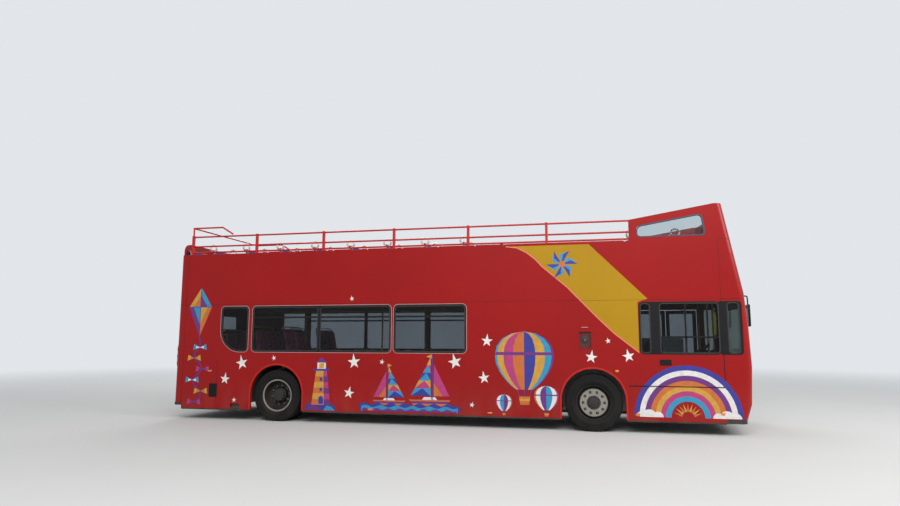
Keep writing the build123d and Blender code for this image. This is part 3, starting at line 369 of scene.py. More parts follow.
def make_road_film():
    """Mask of the dust on a surface: full at the ground, none at the given height."""
    group, entry, leave = new_group(
        "Road film", [("Amount", "Float", 0.3), ("Height", "Float", 1.2)], [("Mask", "Float")]
    )
    where = add_node(group, "TexCoord")
    split = add_node(group, "SeparateXYZ")
    fall_range = {"From Min": 0.15, "To Min": 1, "To Max": 0}
    fall = add_node(group, "MapRange", fall_range, interpolation_type="SMOOTHSTEP")
    patches = noise_node(group, 5.0, 6.0, (1, 1, 0.4))
    spread = add_node(group, "MapRange", {"From Min": 0.3, "From Max": 0.7})
    both = add_node(group, "Math", operation="MULTIPLY")
    share = add_node(group, "Math", operation="MULTIPLY")
    wire(
        group, (where, "Object", split, "Vector"), (split, "Z", fall, "Value"),
        (entry, "Height", fall, "From Max"), (patches, "Fac", spread, "Value"),
        (fall, "Result", both, 0), (spread, "Result", both, 1), (both, "Value", share, 0),
        (entry, "Amount", share, 1), (share, "Value", leave, "Mask"),
    )
    return group


def make_surface_ripple():
    """Height of a fine unevenness."""
    group, entry, leave = new_group(
        "Surface ripple",
        [("Scale", "Float", 60.0), ("Detail", "Float", 3.0)],
        [("Height", "Float")],
    )
    noise = noise_node(group, 60.0, 3.0)
    wire(
        group, (entry, "Scale", noise, "Scale"), (entry, "Detail", noise, "Detail"),
        (noise, "Fac", leave, "Height"),
    )
    return group


colour_drift = make_colour_drift()
road_film = make_road_film()
surface_ripple = make_surface_ripple()
print("shared effects:", [group.name for group in bpy.data.node_groups])

# %% [markdown]
# One finish from one line.
# A painted panel, a tyre and a seat shell differ in colour, gloss, unevenness and dust, not in
# how these are wired. So one function builds the Principled shader with the three effects, and
# every finish below is a call with its own values. The dust also dulls the gloss where it lies.

# %% Finish builder
dust_colour = screen(122, 108, 94)
dust_roughness = 0.85
patch_roughness = 0.08


def place_group(tree, group, **values):
    """One shared effect in a material, with its inputs set."""
    return add_node(tree, "Group", values, node_tree=group)


def new_material(name):
    """Empty material, its tree and its shader."""
    material = bpy.data.materials.new(name)
    material.use_nodes = True
    return material, material.node_tree, material.node_tree.nodes["Principled BSDF"]


def make_finish(
    name,
    colour,
    second=None,
    drift=2.0,
    contrast=1.0,
    roughness=0.4,
    metallic=0.0,
    coat=0.0,
    dust=0.0,
    dust_height=1.2,
    ripple=60.0,
    ripple_depth=0.0002,
    shine=0.5,
):
    """Material for one kind of surface."""
    material, tree, shader = new_material(name)
    set_inputs(
        shader,
        {
            "Metallic": metallic, "Coat Weight": coat, "Coat Roughness": 0.04,
            "Specular IOR Level": shine,
        },
    )
    second = second or [part * 0.86 for part in colour]
    tones = place_group(
        tree,
        colour_drift,
        First=screen(*colour),
        Second=screen(*second),
        Scale=drift,
        Contrast=contrast,
    )
    film = place_group(tree, road_film, Amount=dust, Height=dust_height)
    dusty = add_node(tree, "Mix", {"B": dust_colour}, data_type="RGBA")
    dull = add_node(tree, "MapRange", {"To Min": roughness, "To Max": dust_roughness})
    spots = add_node(tree, "Math", {1: patch_roughness}, operation="MULTIPLY_ADD")
    uneven = place_group(tree, surface_ripple, Scale=ripple)
    bump = add_node(tree, "Bump", {"Strength": 1.0, "Distance": ripple_depth})
    wire(
        tree, (tones, "Colour", dusty, "A"), (film, "Mask", dusty, "Factor"),
        (dusty, "Result", shader, "Base Color"), (tones, "Mask", spots, 0),
        (film, "Mask", spots, 2), (spots, "Value", dull, "Value"),
        (dull, "Result", shader, "Roughness"), (uneven, "Height", bump, "Height"),
        (bump, "Normal", shader, "Normal"),
    )
    return material


def make_glass(name, tint, roughness=0.02, bend=1.45):
    """Tinted see-through pane."""
    material, tree, shader = new_material(name)
    shade = [part * 0.92 for part in tint]
    tones = place_group(tree, colour_drift, First=screen(*tint), Second=screen(*shade), Scale=1.5)
    wire(tree, (tones, "Colour", shader, "Base Color"))
    set_inputs(shader, {"Transmission Weight": 1.0, "Roughness": roughness, "IOR": bend})
    return material


print("dust, linear:", [round(part, 3) for part in dust_colour])

# %% [markdown]
# The finishes of the bus.
# The body is glossy red paint under a clear coat, a little wavy as large panels are. Rails are
# the same red over steel tube, painted lighter as a painted highlight. The glass is dark tinted,
# and its edges are printed black.

# %% Finishes
red_paint = make_finish(
    "red paint", (152, 8, 7), (132, 4, 5), 0.7, 1.2, 0.34, coat=0.12, dust=0.12, dust_height=0.9,
    ripple=6.0, ripple_depth=0.0008, shine=0.2,
)
# Arch lips: lighter red than the body, as a painted highlight.
arch_lip_highlight = make_finish("arch lip, painted highlight", (188, 30, 24), (166, 20, 16), 5, 1, 0.36, shine=0.3)
# Rails: the body's red, made lighter as a painted highlight.
rail_paint_highlit = make_finish(
    "rail paint, painted highlight", (188, 28, 30), (164, 18, 22), 3, 1, 0.34, coat=0.15, shine=0.3
)
yellow_vinyl = make_finish(
    "yellow vinyl", (172, 132, 6), (158, 118, 4), 1.2, 1, 0.4, coat=0.1, shine=0.2
)
white_vinyl = make_finish("white vinyl", (228, 224, 218), (206, 200, 196), 6, 1, 0.4, coat=0.2)
salmon_vinyl = make_finish("salmon vinyl", (214, 120, 88), (200, 104, 72), 4, 1, 0.4, coat=0.2)
black_trim = make_finish(
    "black trim", (14, 14, 15), (20, 20, 22), 5, 1, 0.36, coat=0.05, shine=0.2
)
# Hood side gasket: blue-grey as a painted reflection of the sky.
hood_rubber_sky = make_finish("hood gasket, painted sky reflection", (52, 62, 84), (40, 48, 68), 12, 1, 0.5)
rubber = make_finish("gasket rubber", (20, 20, 21), (30, 30, 30), 12, 1, 0.6, dust=0.2)
# Pale finish: a painted highlight on the window beads, and the own pale colour of the dials.
pale_trim_and_highlight = make_finish("pale trim and painted highlight", (196, 150, 146), (170, 120, 116), 8, 1, 0.35, 0.2)
tyre_rubber = make_finish(
    "tyre rubber", (13, 13, 14), (19, 19, 19), 9, 1.4, 0.78, dust=0.07, dust_height=1.0, shine=0.2,
    ripple=120, ripple_depth=0.0006,
)
wheel_silver = make_finish(
    "wheel silver", (156, 152, 142), (120, 117, 110), 14, 1.4, 0.42, 0.55, dust=0.16,
    dust_height=1.2, ripple=90,
)
# Rims, barrels and hubs: near black as painted shade, with road dust.
wheel_shade_and_dust = make_finish(
    "wheel, painted shade and road dust", (24, 23, 23), (36, 34, 32), 10, 1.5, 0.6, 0.3, dust=0.14,
)
bare_steel = make_finish("bare steel", (128, 126, 122), (96, 92, 88), 20, 1.6, 0.4, 0.85)
chassis_black = make_finish(
    "chassis black", (28, 28, 30), (48, 44, 40), 4, 1.6, 0.6, dust=0.5, ripple=40,
    ripple_depth=0.0008,
)
cast_iron = make_finish(
    "cast iron", (62, 60, 58), (86, 70, 56), 7, 1.8, 0.62, 0.6, dust=0.4, ripple=50,
    ripple_depth=0.0012,
)
floor_vinyl = make_finish(
    "floor covering", (74, 78, 84), (92, 96, 100), 60, 2.4, 0.55, ripple=200, ripple_depth=0.0003
)
deck_vinyl = make_finish(
    "deck covering", (92, 94, 96), (70, 72, 74), 40, 2.2, 0.6, ripple=160, ripple_depth=0.0005
)
wall_lining = make_finish("wall lining", (168, 168, 164), (150, 150, 148), 5, 1, 0.5)
seat_shell = make_finish("seat shell", (24, 54, 134), (18, 42, 112), 10, 1, 0.42, ripple=180)
seat_edge = make_finish("seat edge", (222, 86, 34), (198, 66, 24), 12, 1, 0.4)
seat_cloth = make_finish(
    "seat cloth", (34, 52, 118), (196, 84, 40), 24, 3.5, 0.85, ripple=420, ripple_depth=0.0008
)
dark_cloth = make_finish(
    "driver's seat cloth",
    (36, 38, 46),
    (52, 54, 64),
    30,
    2.5,
    0.88,
    ripple=380,
    ripple_depth=0.0008,
)
handle_white = make_finish("pale handle", (224, 222, 214), (204, 200, 190), 10, 1, 0.38, coat=0.2)
grab_yellow = make_finish("yellow pole", (226, 196, 24), (208, 174, 14), 8, 1, 0.35, coat=0.4)
mirror_glass = make_finish("mirror glass", (206, 209, 211), (198, 202, 205), 3, 1, 0.06, 1.0)
sun_yellow = make_finish("bright yellow foam", (238, 222, 20), (226, 206, 12), 8, 1, 0.5)
dash_plastic = make_finish(
    "dashboard plastic", (40, 42, 46), (52, 54, 58), 12, 1, 0.6, ripple=260, ripple_depth=0.0005
)
side_glass_tint = make_glass("tinted side glass", (158, 164, 170), bend=1.22)
front_glass_tint = make_glass("front glass", (150, 162, 160), bend=1.3)
hood_glass_tint = make_glass("hood glass", (208, 222, 226))
lamp_lens = make_glass("clear lens", (236, 240, 242), 0.04)
red_lens = make_finish("red lens", (170, 10, 12), (140, 6, 8), 30, 1, 0.12, coat=1.0)
amber_lens = make_finish("amber lens", (226, 120, 12), (200, 96, 8), 30, 1, 0.12, coat=1.0)

# %% [markdown]
# Which solid gets which finish.
# A table of pairs keeps this in one place. Solids whose shape is right keep their mesh and only
# change their material. Tyres, wheels and seats get better shapes further down.

# %% Coat the solids
finish_of = {
    red_paint: (
        "offside_lower_side", "nearside_lower_side", "offside_upper_side", "nearside_upper_side",
        "front_lower_panel", "front_upper_panel", "screen_hood", "rear_lower_body",
        "rear_upper_panel", "engine_door",
    ),
    rail_paint_highlit: ("side_rails", "rear_rail", "stair_guard"),
    side_glass_tint: ("saloon_glass", "door_glass_front", "door_glass_rear"),
    front_glass_tint: ("front_glass",),
    hood_glass_tint: ("hood_glass",),
    floor_vinyl: ("lower_floor", "rear_floor", "cab_podium", "staircase"),
    deck_vinyl: ("upper_floor",),
    seat_shell: ("upper_seats", "rear_benches"),
    seat_cloth: ("lower_seats", "driver_seat"),
    wall_lining: ("cab_partition", "cab_door", "sign_box", "wheel_boxes"),
    dash_plastic: ("dashboard", "steering_column", "steering_wheel"),
    black_trim: ("door_leaf_front", "door_leaf_rear", "mirrors"),
    grab_yellow: ("door_arm_front", "door_arm_rear"),
    chassis_black: ("chassis_frame", "engine_bearers", "towing_plates", "air_springs"),
    cast_iron: (
        "engine_block", "front_axle", "rear_axle", "knuckle_nearside", "knuckle_offside",
        "track_rod",
    ),
    lamp_lens: ("headlamps",),
    red_lens: ("tail_lamps",),
    tyre_rubber: (
        "tyre_front_nearside", "tyre_front_offside", "tyres_rear_nearside", "tyres_rear_offside"
    ),
    wheel_shade_and_dust: (
        "rim_front_nearside", "rim_front_offside", "rim_rear_nearside", "rim_rear_offside"
    ),
}
for material, names in finish_of.items():
    for node in names:
        coat_node(node, material)
uncoated = set(nodes) - {node for names in finish_of.values() for node in names}
print("solids without a finish:", sorted(uncoated))

# %% [markdown]
# Places on the body.
# The panels are measured back from the nose, as coach builders do. The same few values place
# the gaskets, the vinyl and the trim on both sides. The front is bowed and leans back, so a
# small function gives its surface, and flat shapes are later laid onto it.

# %% Places
nose_x = 5.325
rear_x = -5.325
side_y = -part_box("offside_lower_side")[0].y
inner_y = side_y - 0.050
waist_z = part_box("offside_upper_side")[1].z
split_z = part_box("offside_upper_side")[0].z
sill_z = 1.310
head_z = 2.145
skirt_z = 0.210
deck_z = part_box("upper_floor")[1].z
ceiling_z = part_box("upper_floor")[0].z
glass_set = 0.012
front_axle_x = 2.719
rear_axle_x = -3.136
axle_z = 0.478
bow_radius = 8.0
corner_radius = 0.110
setback_table = [
    (0.265, 0.110), (0.500, 0.034), (1.100, 0.0), (1.780, 0.022), (2.300, 0.064), (3.807, 0.340)
]


def setback(z):
    """How far the front lies behind the nose at one height."""
    for (low, first), (high, second) in zip(setback_table, setback_table[1:]):
        if z <= high:
            return first + (second - first) * max(z - low, 0) / (high - low)
    return setback_table[-1][1]


def front_surface(y, z):
    """Place along the bus of the front's outer surface."""
    bow = bow_radius - math.sqrt(bow_radius**2 - y * y)
    return nose_x - setback(z) - bow


def sides():
    """Offside and nearside, as signs of Y and names."""
    return ((-1, "offside"), (1, "nearside"))


print("side at", round(side_y, 3), "waist at", round(waist_z, 3))

# %% [markdown]
# Flat outlines.
# Gaskets, trims and printed vinyl all start flat. A face gets its round corners from a vertex
# bevel. A border comes from an inset whose middle is thrown away. A plate with several holes is
# filled between its edge loops. Each is then pushed out along Y to its thickness.

# %% Helpers for flat shapes


def rounded_face(corners, y, radii, steps=6):
    """Upright face along the bus, with a radius at each of its corners."""
    part = bmesh.new()
    verts = [part.verts.new((x, y, z)) for x, z in corners]
    part.faces.new(verts)
    for vert, radius in zip(verts, radii):
        if radius:
            round_off(part, [vert], radius, steps)
    return part


def box_corners(x, z, grow=0.0):
    """Corners of an upright rectangle, from the low rear one, grown all round."""
    low_x, high_x, low_z, high_z = x[0] - grow, x[1] + grow, z[0] - grow, z[1] + grow
    return [(low_x, low_z), (high_x, low_z), (high_x, high_z), (low_x, high_z)]


def push_out(part, along):
    """Gives flat faces a thickness along a vector, as one closed shape."""
    moved = bmesh.ops.extrude_face_region(part, geom=part.faces[:])
    verts = [item for item in moved["geom"] if isinstance(item, bmesh.types.BMVert)]
    bmesh.ops.translate(part, vec=along, verts=verts)
    return part


def border_of(part, width):
    """Keeps only a border of one flat face."""
    part.normal_update()
    part.faces.ensure_lookup_table()
    face = part.faces[0]
    bmesh.ops.inset_region(
        part, faces=[face], thickness=width, use_even_offset=True, use_boundary=True
    )
    bmesh.ops.delete(part, geom=[face], context="FACES")
    return part


def pierced_face(outer, holes):
    """Flat face between an outer outline and its holes, all given as flat faces."""
    part = bmesh.new()
    for outline in [outer, *holes]:
        bmesh.ops.delete(outline, geom=outline.faces[:], context="FACES_ONLY")
        gather(part, outline)
    bmesh.ops.triangle_fill(part, use_beauty=True, edges=part.edges[:])
    return part


def side_plate(points, side, lift, thickness):
    """Thin plate on one side of the bus from its outline, as pairs of X and Z."""
    part = bmesh.new()
    verts = [part.verts.new((x, side * (side_y + lift), z)) for x, z in points]
    part.faces.new(verts)
    part.normal_update()
    bmesh.ops.triangulate(part, faces=part.faces[:])
    return push_out(part, (0, side * thickness, 0))


def ribbon(points, width):
    """Closed outline of a line of one width along a row of points."""
    left, right = [], []
    for index, point in enumerate(points):
        before = Vector(points[max(index - 1, 0)])
        after = Vector(points[min(index + 1, len(points) - 1)])
        along = (after - before).normalized()
        across = Vector((-along.y, along.x)) * width / 2
        left.append(tuple(Vector(point) + across))
        right.append(tuple(Vector(point) - across))
    return left + right[::-1]


def strip_along(points, width, side, lift, thickness):
    """Line of one width on one side of the bus that follows a row of points."""
    return side_plate(ribbon(points, width), side, lift, thickness)


def side_ring(corners, y, radii, width, depth, steps=6):
    """Upright ring of one width inside an outline, as deep along Y as asked."""
    return push_out(border_of(rounded_face(corners, y, radii, steps), width), (0, depth, 0))


def side_panel(outer, holes, depth):
    """Upright panel between an outline and its holes."""
    return push_out(pierced_face(outer, holes), (0, depth, 0))


def cut_below(part, z):
    """Leaves only what is above one height."""
    bmesh.ops.bisect_plane(
        part,
        geom=part.verts[:] + part.edges[:] + part.faces[:],
        plane_co=(0, 0, z),
        plane_no=(0, 0, -1),
        clear_outer=True,
    )
    bmesh.ops.holes_fill(part, edges=part.edges[:])


# %% [markdown]
# Window surrounds.
# The side panes sit in black rubber, and neighbouring panes share one black panel, so that they
# read as a single dark strip. A thin pale bead runs round each strip as a painted highlight on
# the frame edge. The rubber lines the hole from the glass out to just past the paint, which
# hides the sharp edge of the panel.

# %% Side windows
rear_pane = (-4.342, -3.786)
window_groups = {
    "offside": [
        [(-3.665, -2.318), (-2.278, -0.893)], [(-0.804, 0.516)], [(3.517, 3.684), (3.827, 4.763)]
    ],
    "nearside": [
        [(-3.665, -2.318), (-2.278, -0.893)], [(-0.804, 0.516)], [(0.605, 2.025), (2.115, 3.435)]
    ],
}
pane_radii = (0.060,) * 4
quarter_radii = (0.400, 0.060, 0.060, 0.060)
rubber_width = 0.018
panel_edge = 0.020
bead_width = 0.010
bead_edge = panel_edge + bead_width
cab_from_x = 3.5
window_z = (sill_z, head_z)


def grown(radii, edge):
    """Radii of an outline that runs outside another one."""
    return [radius + edge for radius in radii]


def window_rubber(side, x, radii=pane_radii):
    """Rubber that lines one window from the glass to just past the paint."""
    corners = box_corners(x, window_z)
    depth = side * (glass_set + 0.002)
    return side_ring(corners, side * (side_y - glass_set), radii, rubber_width, depth, 8)


def window_bead(side, x, radii, steps=6):
    """Pale bead round one strip of windows, a painted highlight on its frame edge."""
    corners = box_corners(x, window_z, bead_edge)
    radii = grown(radii, bead_edge)
    return side_ring(corners, side * side_y, radii, bead_width, side * 0.003, steps)


def window_panel(side, x, panes, radii=pane_radii, steps=6):
    """Black panel round the panes of one strip."""
    y = side * side_y
    outer = rounded_face(box_corners(x, window_z, panel_edge), y, grown(radii, panel_edge), steps)
    holes = [rounded_face(box_corners(pane, window_z), y, radii, steps) for pane in panes]
    return side_panel(outer, holes, side * 0.0012)


for side, label in sides():
    rubbers = window_rubber(side, rear_pane, quarter_radii)
    panels = bmesh.new()
    beads = bmesh.new()
    for group in window_groups[label]:
        reach = (group[0][0], group[-1][1])
        for pane in group:
            gather(rubbers, window_rubber(side, pane))
        gather(panels, window_panel(side, reach, group))
        if reach[0] < cab_from_x:
            gather(beads, window_bead(side, reach, pane_radii))
    gather(beads, window_bead(side, rear_pane, quarter_radii, 12))
    gather(panels, window_panel(side, rear_pane, [rear_pane], quarter_radii, 12))
    finish_piece(f"window_rubber_{label}", rubbers, rubber)
    finish_piece(f"window_panels_{label}", panels, black_trim)
    finish_piece(f"window_beads_{label}", beads, pale_trim_and_highlight, smooth_angle=40)

# %% [markdown]
# The cab's front corner pane, and the bars across the panes.
# On the driver's side the black panel runs on past the front pane, so the corner pane gets its
# own panel that meets it. Each saloon pane has a bar near its top where the hopper opens, and
# the driver's pane has a sliding half with an upright and a cross bar.

# %% Corner panes and bars
corner_pane = (4.885, 5.075)
bar_thickness = 0.010
hopper_z = (1.930, 1.962)
for side, label in sides():
    y = side * side_y
    corner = side_ring(
        box_corners(corner_pane, window_z),
        side * (side_y - glass_set),
        pane_radii,
        rubber_width,
        side * (glass_set + 0.002),
    )
    finish_piece(f"corner_rubber_{label}", corner, rubber)
    outer = rounded_face(box_corners((4.785, 5.095), window_z, 0.020), y, (0.0, 0.06, 0.06, 0.0))
    hole = rounded_face(box_corners(corner_pane, window_z), y, pane_radii)
    panel = side_panel(outer, [hole], side * 0.0010)
    finish_piece(f"corner_panel_{label}", panel, black_trim)
    bars = bmesh.new()
    glass_y = side * (side_y - glass_set)
    bar_y = sorted((glass_y, glass_y + side * bar_thickness))
    for group in window_groups[label]:
        for low_x, high_x in group:
            if low_x < cab_from_x:
                add_box(bars, (low_x + 0.012, high_x - 0.012), bar_y, hopper_z, 0.002, 1)
    if side < 0:
        for x in ((4.222, 4.252), (4.655, 4.675)):
            add_box(bars, x, bar_y, (sill_z + 0.012, head_z - 0.012), 0.002, 1)
        add_box(bars, (3.840, 4.750), bar_y, (1.562, 1.592), 0.002, 1)
    finish_piece(f"window_bars_{label}", bars, black_trim)

# %% [markdown]
# The front glass.
# Its rubber has to follow a surface that is bowed and leans back. A flat ring is cut into short
# lengths, each point is moved onto the front, and the ring is then pushed out into a strip.

# %% Front gaskets


def front_face(half_y, z, radius, steps=6):
    """Flat rounded face across the bus, ready to be laid onto the front."""
    part = bmesh.new()
    corners = [(-half_y, z[0]), (half_y, z[0]), (half_y, z[1]), (-half_y, z[1])]
    verts = [part.verts.new((0, y, height)) for y, height in corners]
    part.faces.new(verts)
    round_off(part, verts, radius, steps)
    return part


def slice_across(part, step):
    """Cuts a flat part into narrow bands along Y and Z, so that it can bend."""
    low = Vector([min(v.co[axis] for v in part.verts) for axis in range(3)])
    high = Vector([max(v.co[axis] for v in part.verts) for axis in range(3)])
    for axis, normal in ((1, (0, 1, 0)), (2, (0, 0, 1))):
        for index in range(1, math.ceil((high[axis] - low[axis]) / step)):
            place = [0, 0, 0]
            place[axis] = low[axis] + index * step
            bmesh.ops.bisect_plane(
                part,
                geom=part.verts[:] + part.edges[:] + part.faces[:],
                plane_co=place,
                plane_no=normal,
            )
    return part


def lay_on_front(part, lift):
    """Moves each point of a flat part onto the front, a little ahead of its surface."""
    for vert in part.verts:
        vert.co.x = front_surface(vert.co.y, vert.co.z) + lift
    return part


def front_ring(half_y, z, radius, width, depth=0.022, proud=0.003):
    """Rubber ring in a hole of the front."""
    part = border_of(front_face(half_y, z, radius), width)
    slice_across(part, 0.15)
    lay_on_front(part, -depth)
    return push_out(part, (depth + proud, 0, 0))


windscreen_ring = front_ring(1.080, (1.130, 2.110), 0.090, 0.030)
finish_piece("windscreen_rubber", windscreen_ring, rubber, smooth_angle=40)
sign_ring = front_ring(0.760, (2.400, 2.700), 0.060, 0.022)
finish_piece("sign_rubber", sign_ring, rubber, smooth_angle=40)
hood_ring = front_ring(1.010, (waist_z + 0.083, 3.740), 0.080, 0.026)
finish_piece("hood_front_rubber", hood_ring, rubber, smooth_angle=40)

# %% [markdown]
# The side lights of the hood.
# Their outline follows the sloping top edge. The rubber lines the hole on both faces of the
# hood, because people on the deck see it from inside. Its blue-grey colour is a painted
# reflection of the sky.

# %% Hood side rubber
hood_corners = [
    (nose_x - 1.825, 3.267), (nose_x - 0.696, 3.267), (nose_x - 0.751, 3.647),
    (nose_x - 1.808, 3.471),
]
for side, label in sides():
    inner_face = side * (side_y - 0.050)
    ring = side_ring(hood_corners, inner_face, (0.080,) * 4, 0.020, side * 0.053, 8)
    finish_piece(
        f"hood_side_rubber_{label}", ring, hood_rubber_sky, smooth_angle=40
    )

# %% [markdown]
# The yellow band.
# A wide band of yellow vinyl runs from the waist down to the corner of the cab window. It is cut
# from one sheet whose lower edge swings over in a short curve at the top. A sheet of vinyl is
# only a thin plate that stands a hair proud of the paint. A salmon line follows the lower edge.

# %% Yellow band
vinyl_gap = 0.0004
vinyl_thickness = 0.0005
layer_step = 0.0008
band_lower_edge = [
    (1.260, waist_z - 0.030), (1.453, waist_z - 0.056), (1.626, 3.060), (1.776, 2.940),
    (1.889, 2.811), (2.317, 2.439), (2.836, 1.891), (3.089, 1.640), (3.486, 1.322),
]
band_upper_edge = [(3.486, 2.165), (3.650, 2.218), (2.705, waist_z - 0.030)]


def vinyl(points, side, layer=0):
    """Printed vinyl on one side of the bus, on one of several layers."""
    return side_plate(points, side, vinyl_gap + layer * layer_step, vinyl_thickness)


for side, label in sides():
    band = vinyl(band_lower_edge + band_upper_edge, side)
    line = strip_along(band_lower_edge, 0.020, side, vinyl_gap + layer_step, vinyl_thickness)
    if side > 0:
        cut_below(band, head_z + 0.040)
        cut_below(line, head_z + 0.040)
    finish_piece(f"yellow_band_{label}", band, yellow_vinyl)
    finish_piece(f"band_line_{label}", line, salmon_vinyl)

# %% [markdown]
# The white stars.
# They are scattered low along both sides, each a little tilted, with one point drawn out longer
# as if it were cut by hand. Three sizes are used.

# %% Stars
large_star = 0.128
middle_star = 0.104
small_star = 0.048
large_places = [(-3.872, 1.077, 12), (-1.580, 1.117, 5), (0.329, 1.135, 14)]
middle_places = [
    (-4.221, 0.769, -6), (-1.665, 0.555, -10), (0.908, 1.506, -4), (0.851, 0.863, 8),
    (2.700, 1.236, -9), (3.310, 1.258, 10),
]
small_places = [
    (-3.201, 1.177, 20), (-4.007, 0.377, 5), (-1.037, 1.122, -12), (2.984, 1.511, 8),
    (0.635, 0.395, -15), (-1.647, 2.285, 10),
]
doors_from_x = 3.3
nearside_star_top = 1.3


def star_outline(x, z, size, turn):
    """Five-pointed star whose top point is drawn out."""
    points = []
    for index in range(10):
        reach = size if index % 2 == 0 else size * 0.40
        reach *= 1.22 if index == 0 else 1.0
        angle = math.radians(90 + turn + 36 * index)
        points.append((x + reach * math.cos(angle), z + reach * math.sin(angle)))
    return points


for side, label in sides():
    stars = bmesh.new()
    for places, size in (
        (large_places, large_star), (middle_places, middle_star), (small_places, small_star)
    ):
        for x, z, turn in places:
            on_doors_or_glass = x > doors_from_x or z > nearside_star_top
            if side < 0 or not on_doors_or_glass:
                gather(stars, vinyl(star_outline(x, z, size, turn), side, 4))
    finish_piece(f"stars_{label}", stars, white_vinyl)

# %% [markdown]
# Pictures along the side.
# Bright pictures fill the space between the wheels: a kite, a striped lighthouse, boats, balloons
# and a rainbow. Each picture is a list of flat shapes, back to front. A shape has a colour, a
# layer and an outline in the picture's own metres. One function scales the shapes, lays them on
# a side and gathers them into one piece, so a picture can be used again at another size.

# %% Picture inks and the picture maker
ink_colours = {
    "cyan": (28, 140, 182),
    "blue": (42, 40, 142),
    "purple": (100, 30, 118),
    "orange": (196, 102, 32),
    "yellow": (200, 148, 46),
    "pink": (176, 44, 112),
    "white": (222, 218, 214),
    "green": (96, 170, 104),
}
ink_names = list(ink_colours)
inks = [
    make_finish(f"{name} vinyl", colour, None, 14, 1.6, 0.38, coat=0.25)
    for name, colour in ink_colours.items()
]


def picture(name, shapes, side, x, z, scale=1.0):
    """One picture on one side of the bus, with its own origin at X and Z."""
    whole = bmesh.new()
    for ink, layer, outline in shapes:
        points = [(x + scale * along, z + scale * up) for along, up in outline]
        part = vinyl(points, side, layer)
        for face in part.faces:
            face.material_index = ink_names.index(ink)
        gather(whole, part)
    return finish_piece(name, whole, inks)


def wavy(low_x, high_x, base, top, height, waves, steps=8):
    """Outline with a straight foot and a wavy upper edge."""
    count = waves * steps
    edge = []
    for index in range(count + 1):
        share = index / count
        rise = height * math.sin(math.tau * waves * share)
        edge.append((low_x + (high_x - low_x) * share, top + rise))
    return [(low_x, base), (high_x, base), *edge[::-1]]


# %% [markdown]
# The kite.
# Four coloured quarters meet where its sticks cross. A second, smaller set swaps the colours.
# The tail swings down the rear corner and carries bows.

# %% Kite shapes
kite_tips = [(0, 0.52), (0.25, 0.14), (0, -0.44), (-0.25, 0.14)]
kite_inks = ["cyan", "orange", "purple", "yellow"]
tail_path = [(0.11 * math.sin(1.35 * k) * min(k, 3) / 3, -0.44 - 0.105 * k) for k in range(13)]


def kite_shapes():
    """Kite with its bowed tail, hung from the middle of its sticks."""
    shapes = []
    middle = (0, 0.14)
    for layer, size in ((0, 1.0), (1, 0.62)):
        tips = [(tip[0] * size, 0.14 + (tip[1] - 0.14) * size) for tip in kite_tips]
        for index in range(4):
            ink = kite_inks[(index + 2 * layer) % 4]
            shapes.append((ink, layer, [middle, tips[index], tips[(index + 1) % 4]]))
    for start, end in ((0, 2), (3, 1)):
        shapes.append(("blue", 2, ribbon([kite_tips[start], kite_tips[end]], 0.014)))
    shapes.append(("blue", 0, ribbon(tail_path, 0.022)))
    for index in range(2, 13, 2):
        x, z = tail_path[index]
        for end in (-1, 1):
            wing = [(x, z), (x + end * 0.13, z + 0.065), (x + end * 0.15, z - 0.05)]
            shapes.append((["pink", "cyan", "yellow"][index // 2 % 3], 1, wing))
            core = [(x, z), (x + end * 0.08, z + 0.03), (x + end * 0.09, z - 0.025)]
            shapes.append((["purple", "white", "orange"][index // 2 % 3], 2, core))
    return shapes


for side, label in sides():
    picture(f"kite_{label}", kite_shapes(), side, -4.83, 2.02)

# %% [markdown]
# The lighthouse.
# The tower tapers and its bands slant a little. It stands on rocks with a lantern on top.

# %% Lighthouse shapes
tower_foot, tower_top, tower_rise = 0.20, 0.115, 0.66


def tower_half(share):
    """Half width of the tower at a share of its height."""
    return tower_foot + (tower_top - tower_foot) * share


def lighthouse_shapes():
    """Lighthouse with its foot at the origin."""
    shapes = [
        (
            "blue",
            0,
            [(-0.34, 0), (0.34, 0), (0.27, 0.10), (0.10, 0.15), (-0.12, 0.12), (-0.28, 0.13)],
        ),
        ("purple", 1, [(-0.30, 0), (-0.02, 0), (-0.10, 0.09), (-0.24, 0.08)]),
        ("cyan", 1, [(0.06, 0), (0.30, 0), (0.22, 0.07), (0.12, 0.09)]),
    ]
    bands = ["orange", "yellow", "orange", "yellow", "orange", "yellow"]
    for index, ink in enumerate(bands):
        low, high = index / len(bands), (index + 1) / len(bands)
        foot_half, head_half = tower_half(low), tower_half(high)
        foot, head = 0.10 + tower_rise * low, 0.10 + tower_rise * high
        for colour, layer, left in ((ink, 2, -1), ("pink" if index % 2 else "purple", 3, 0.35)):
            band = [(foot_half * left, foot), (foot_half, foot)]
            band += [(head_half, head), (head_half * left, head)]
            shapes.append((colour, layer, band))
    top = 0.10 + tower_rise
    shapes += [
        ("blue", 3, box_corners((-0.17, 0.17), (top, top + 0.04))),
        ("white", 3, box_corners((-0.09, 0.09), (top + 0.04, top + 0.16))),
        ("yellow", 4, box_corners((-0.05, 0.05), (top + 0.05, top + 0.15))),
        ("purple", 4, [(-0.12, top + 0.16), (0.12, top + 0.16), (0, top + 0.27)]),
        ("blue", 4, [(-0.05, 0.12), (0.05, 0.12), (0.05, 0.24), (0, 0.28), (-0.05, 0.24)]),
    ]
    for rise in (0.36, 0.56):
        shapes.append(("blue", 4, box_corners((-0.03, 0.02), (rise, rise + 0.07))))
    return shapes


for side, label in sides():
    picture(f"lighthouse_{label}", lighthouse_shapes(), side, -2.22, 0.235, 0.94)

# %% [markdown]
# The sailing boats.
# Sails are made of panels in changing colours. Three rows of waves run in front of the hulls.

# %% Boat shapes


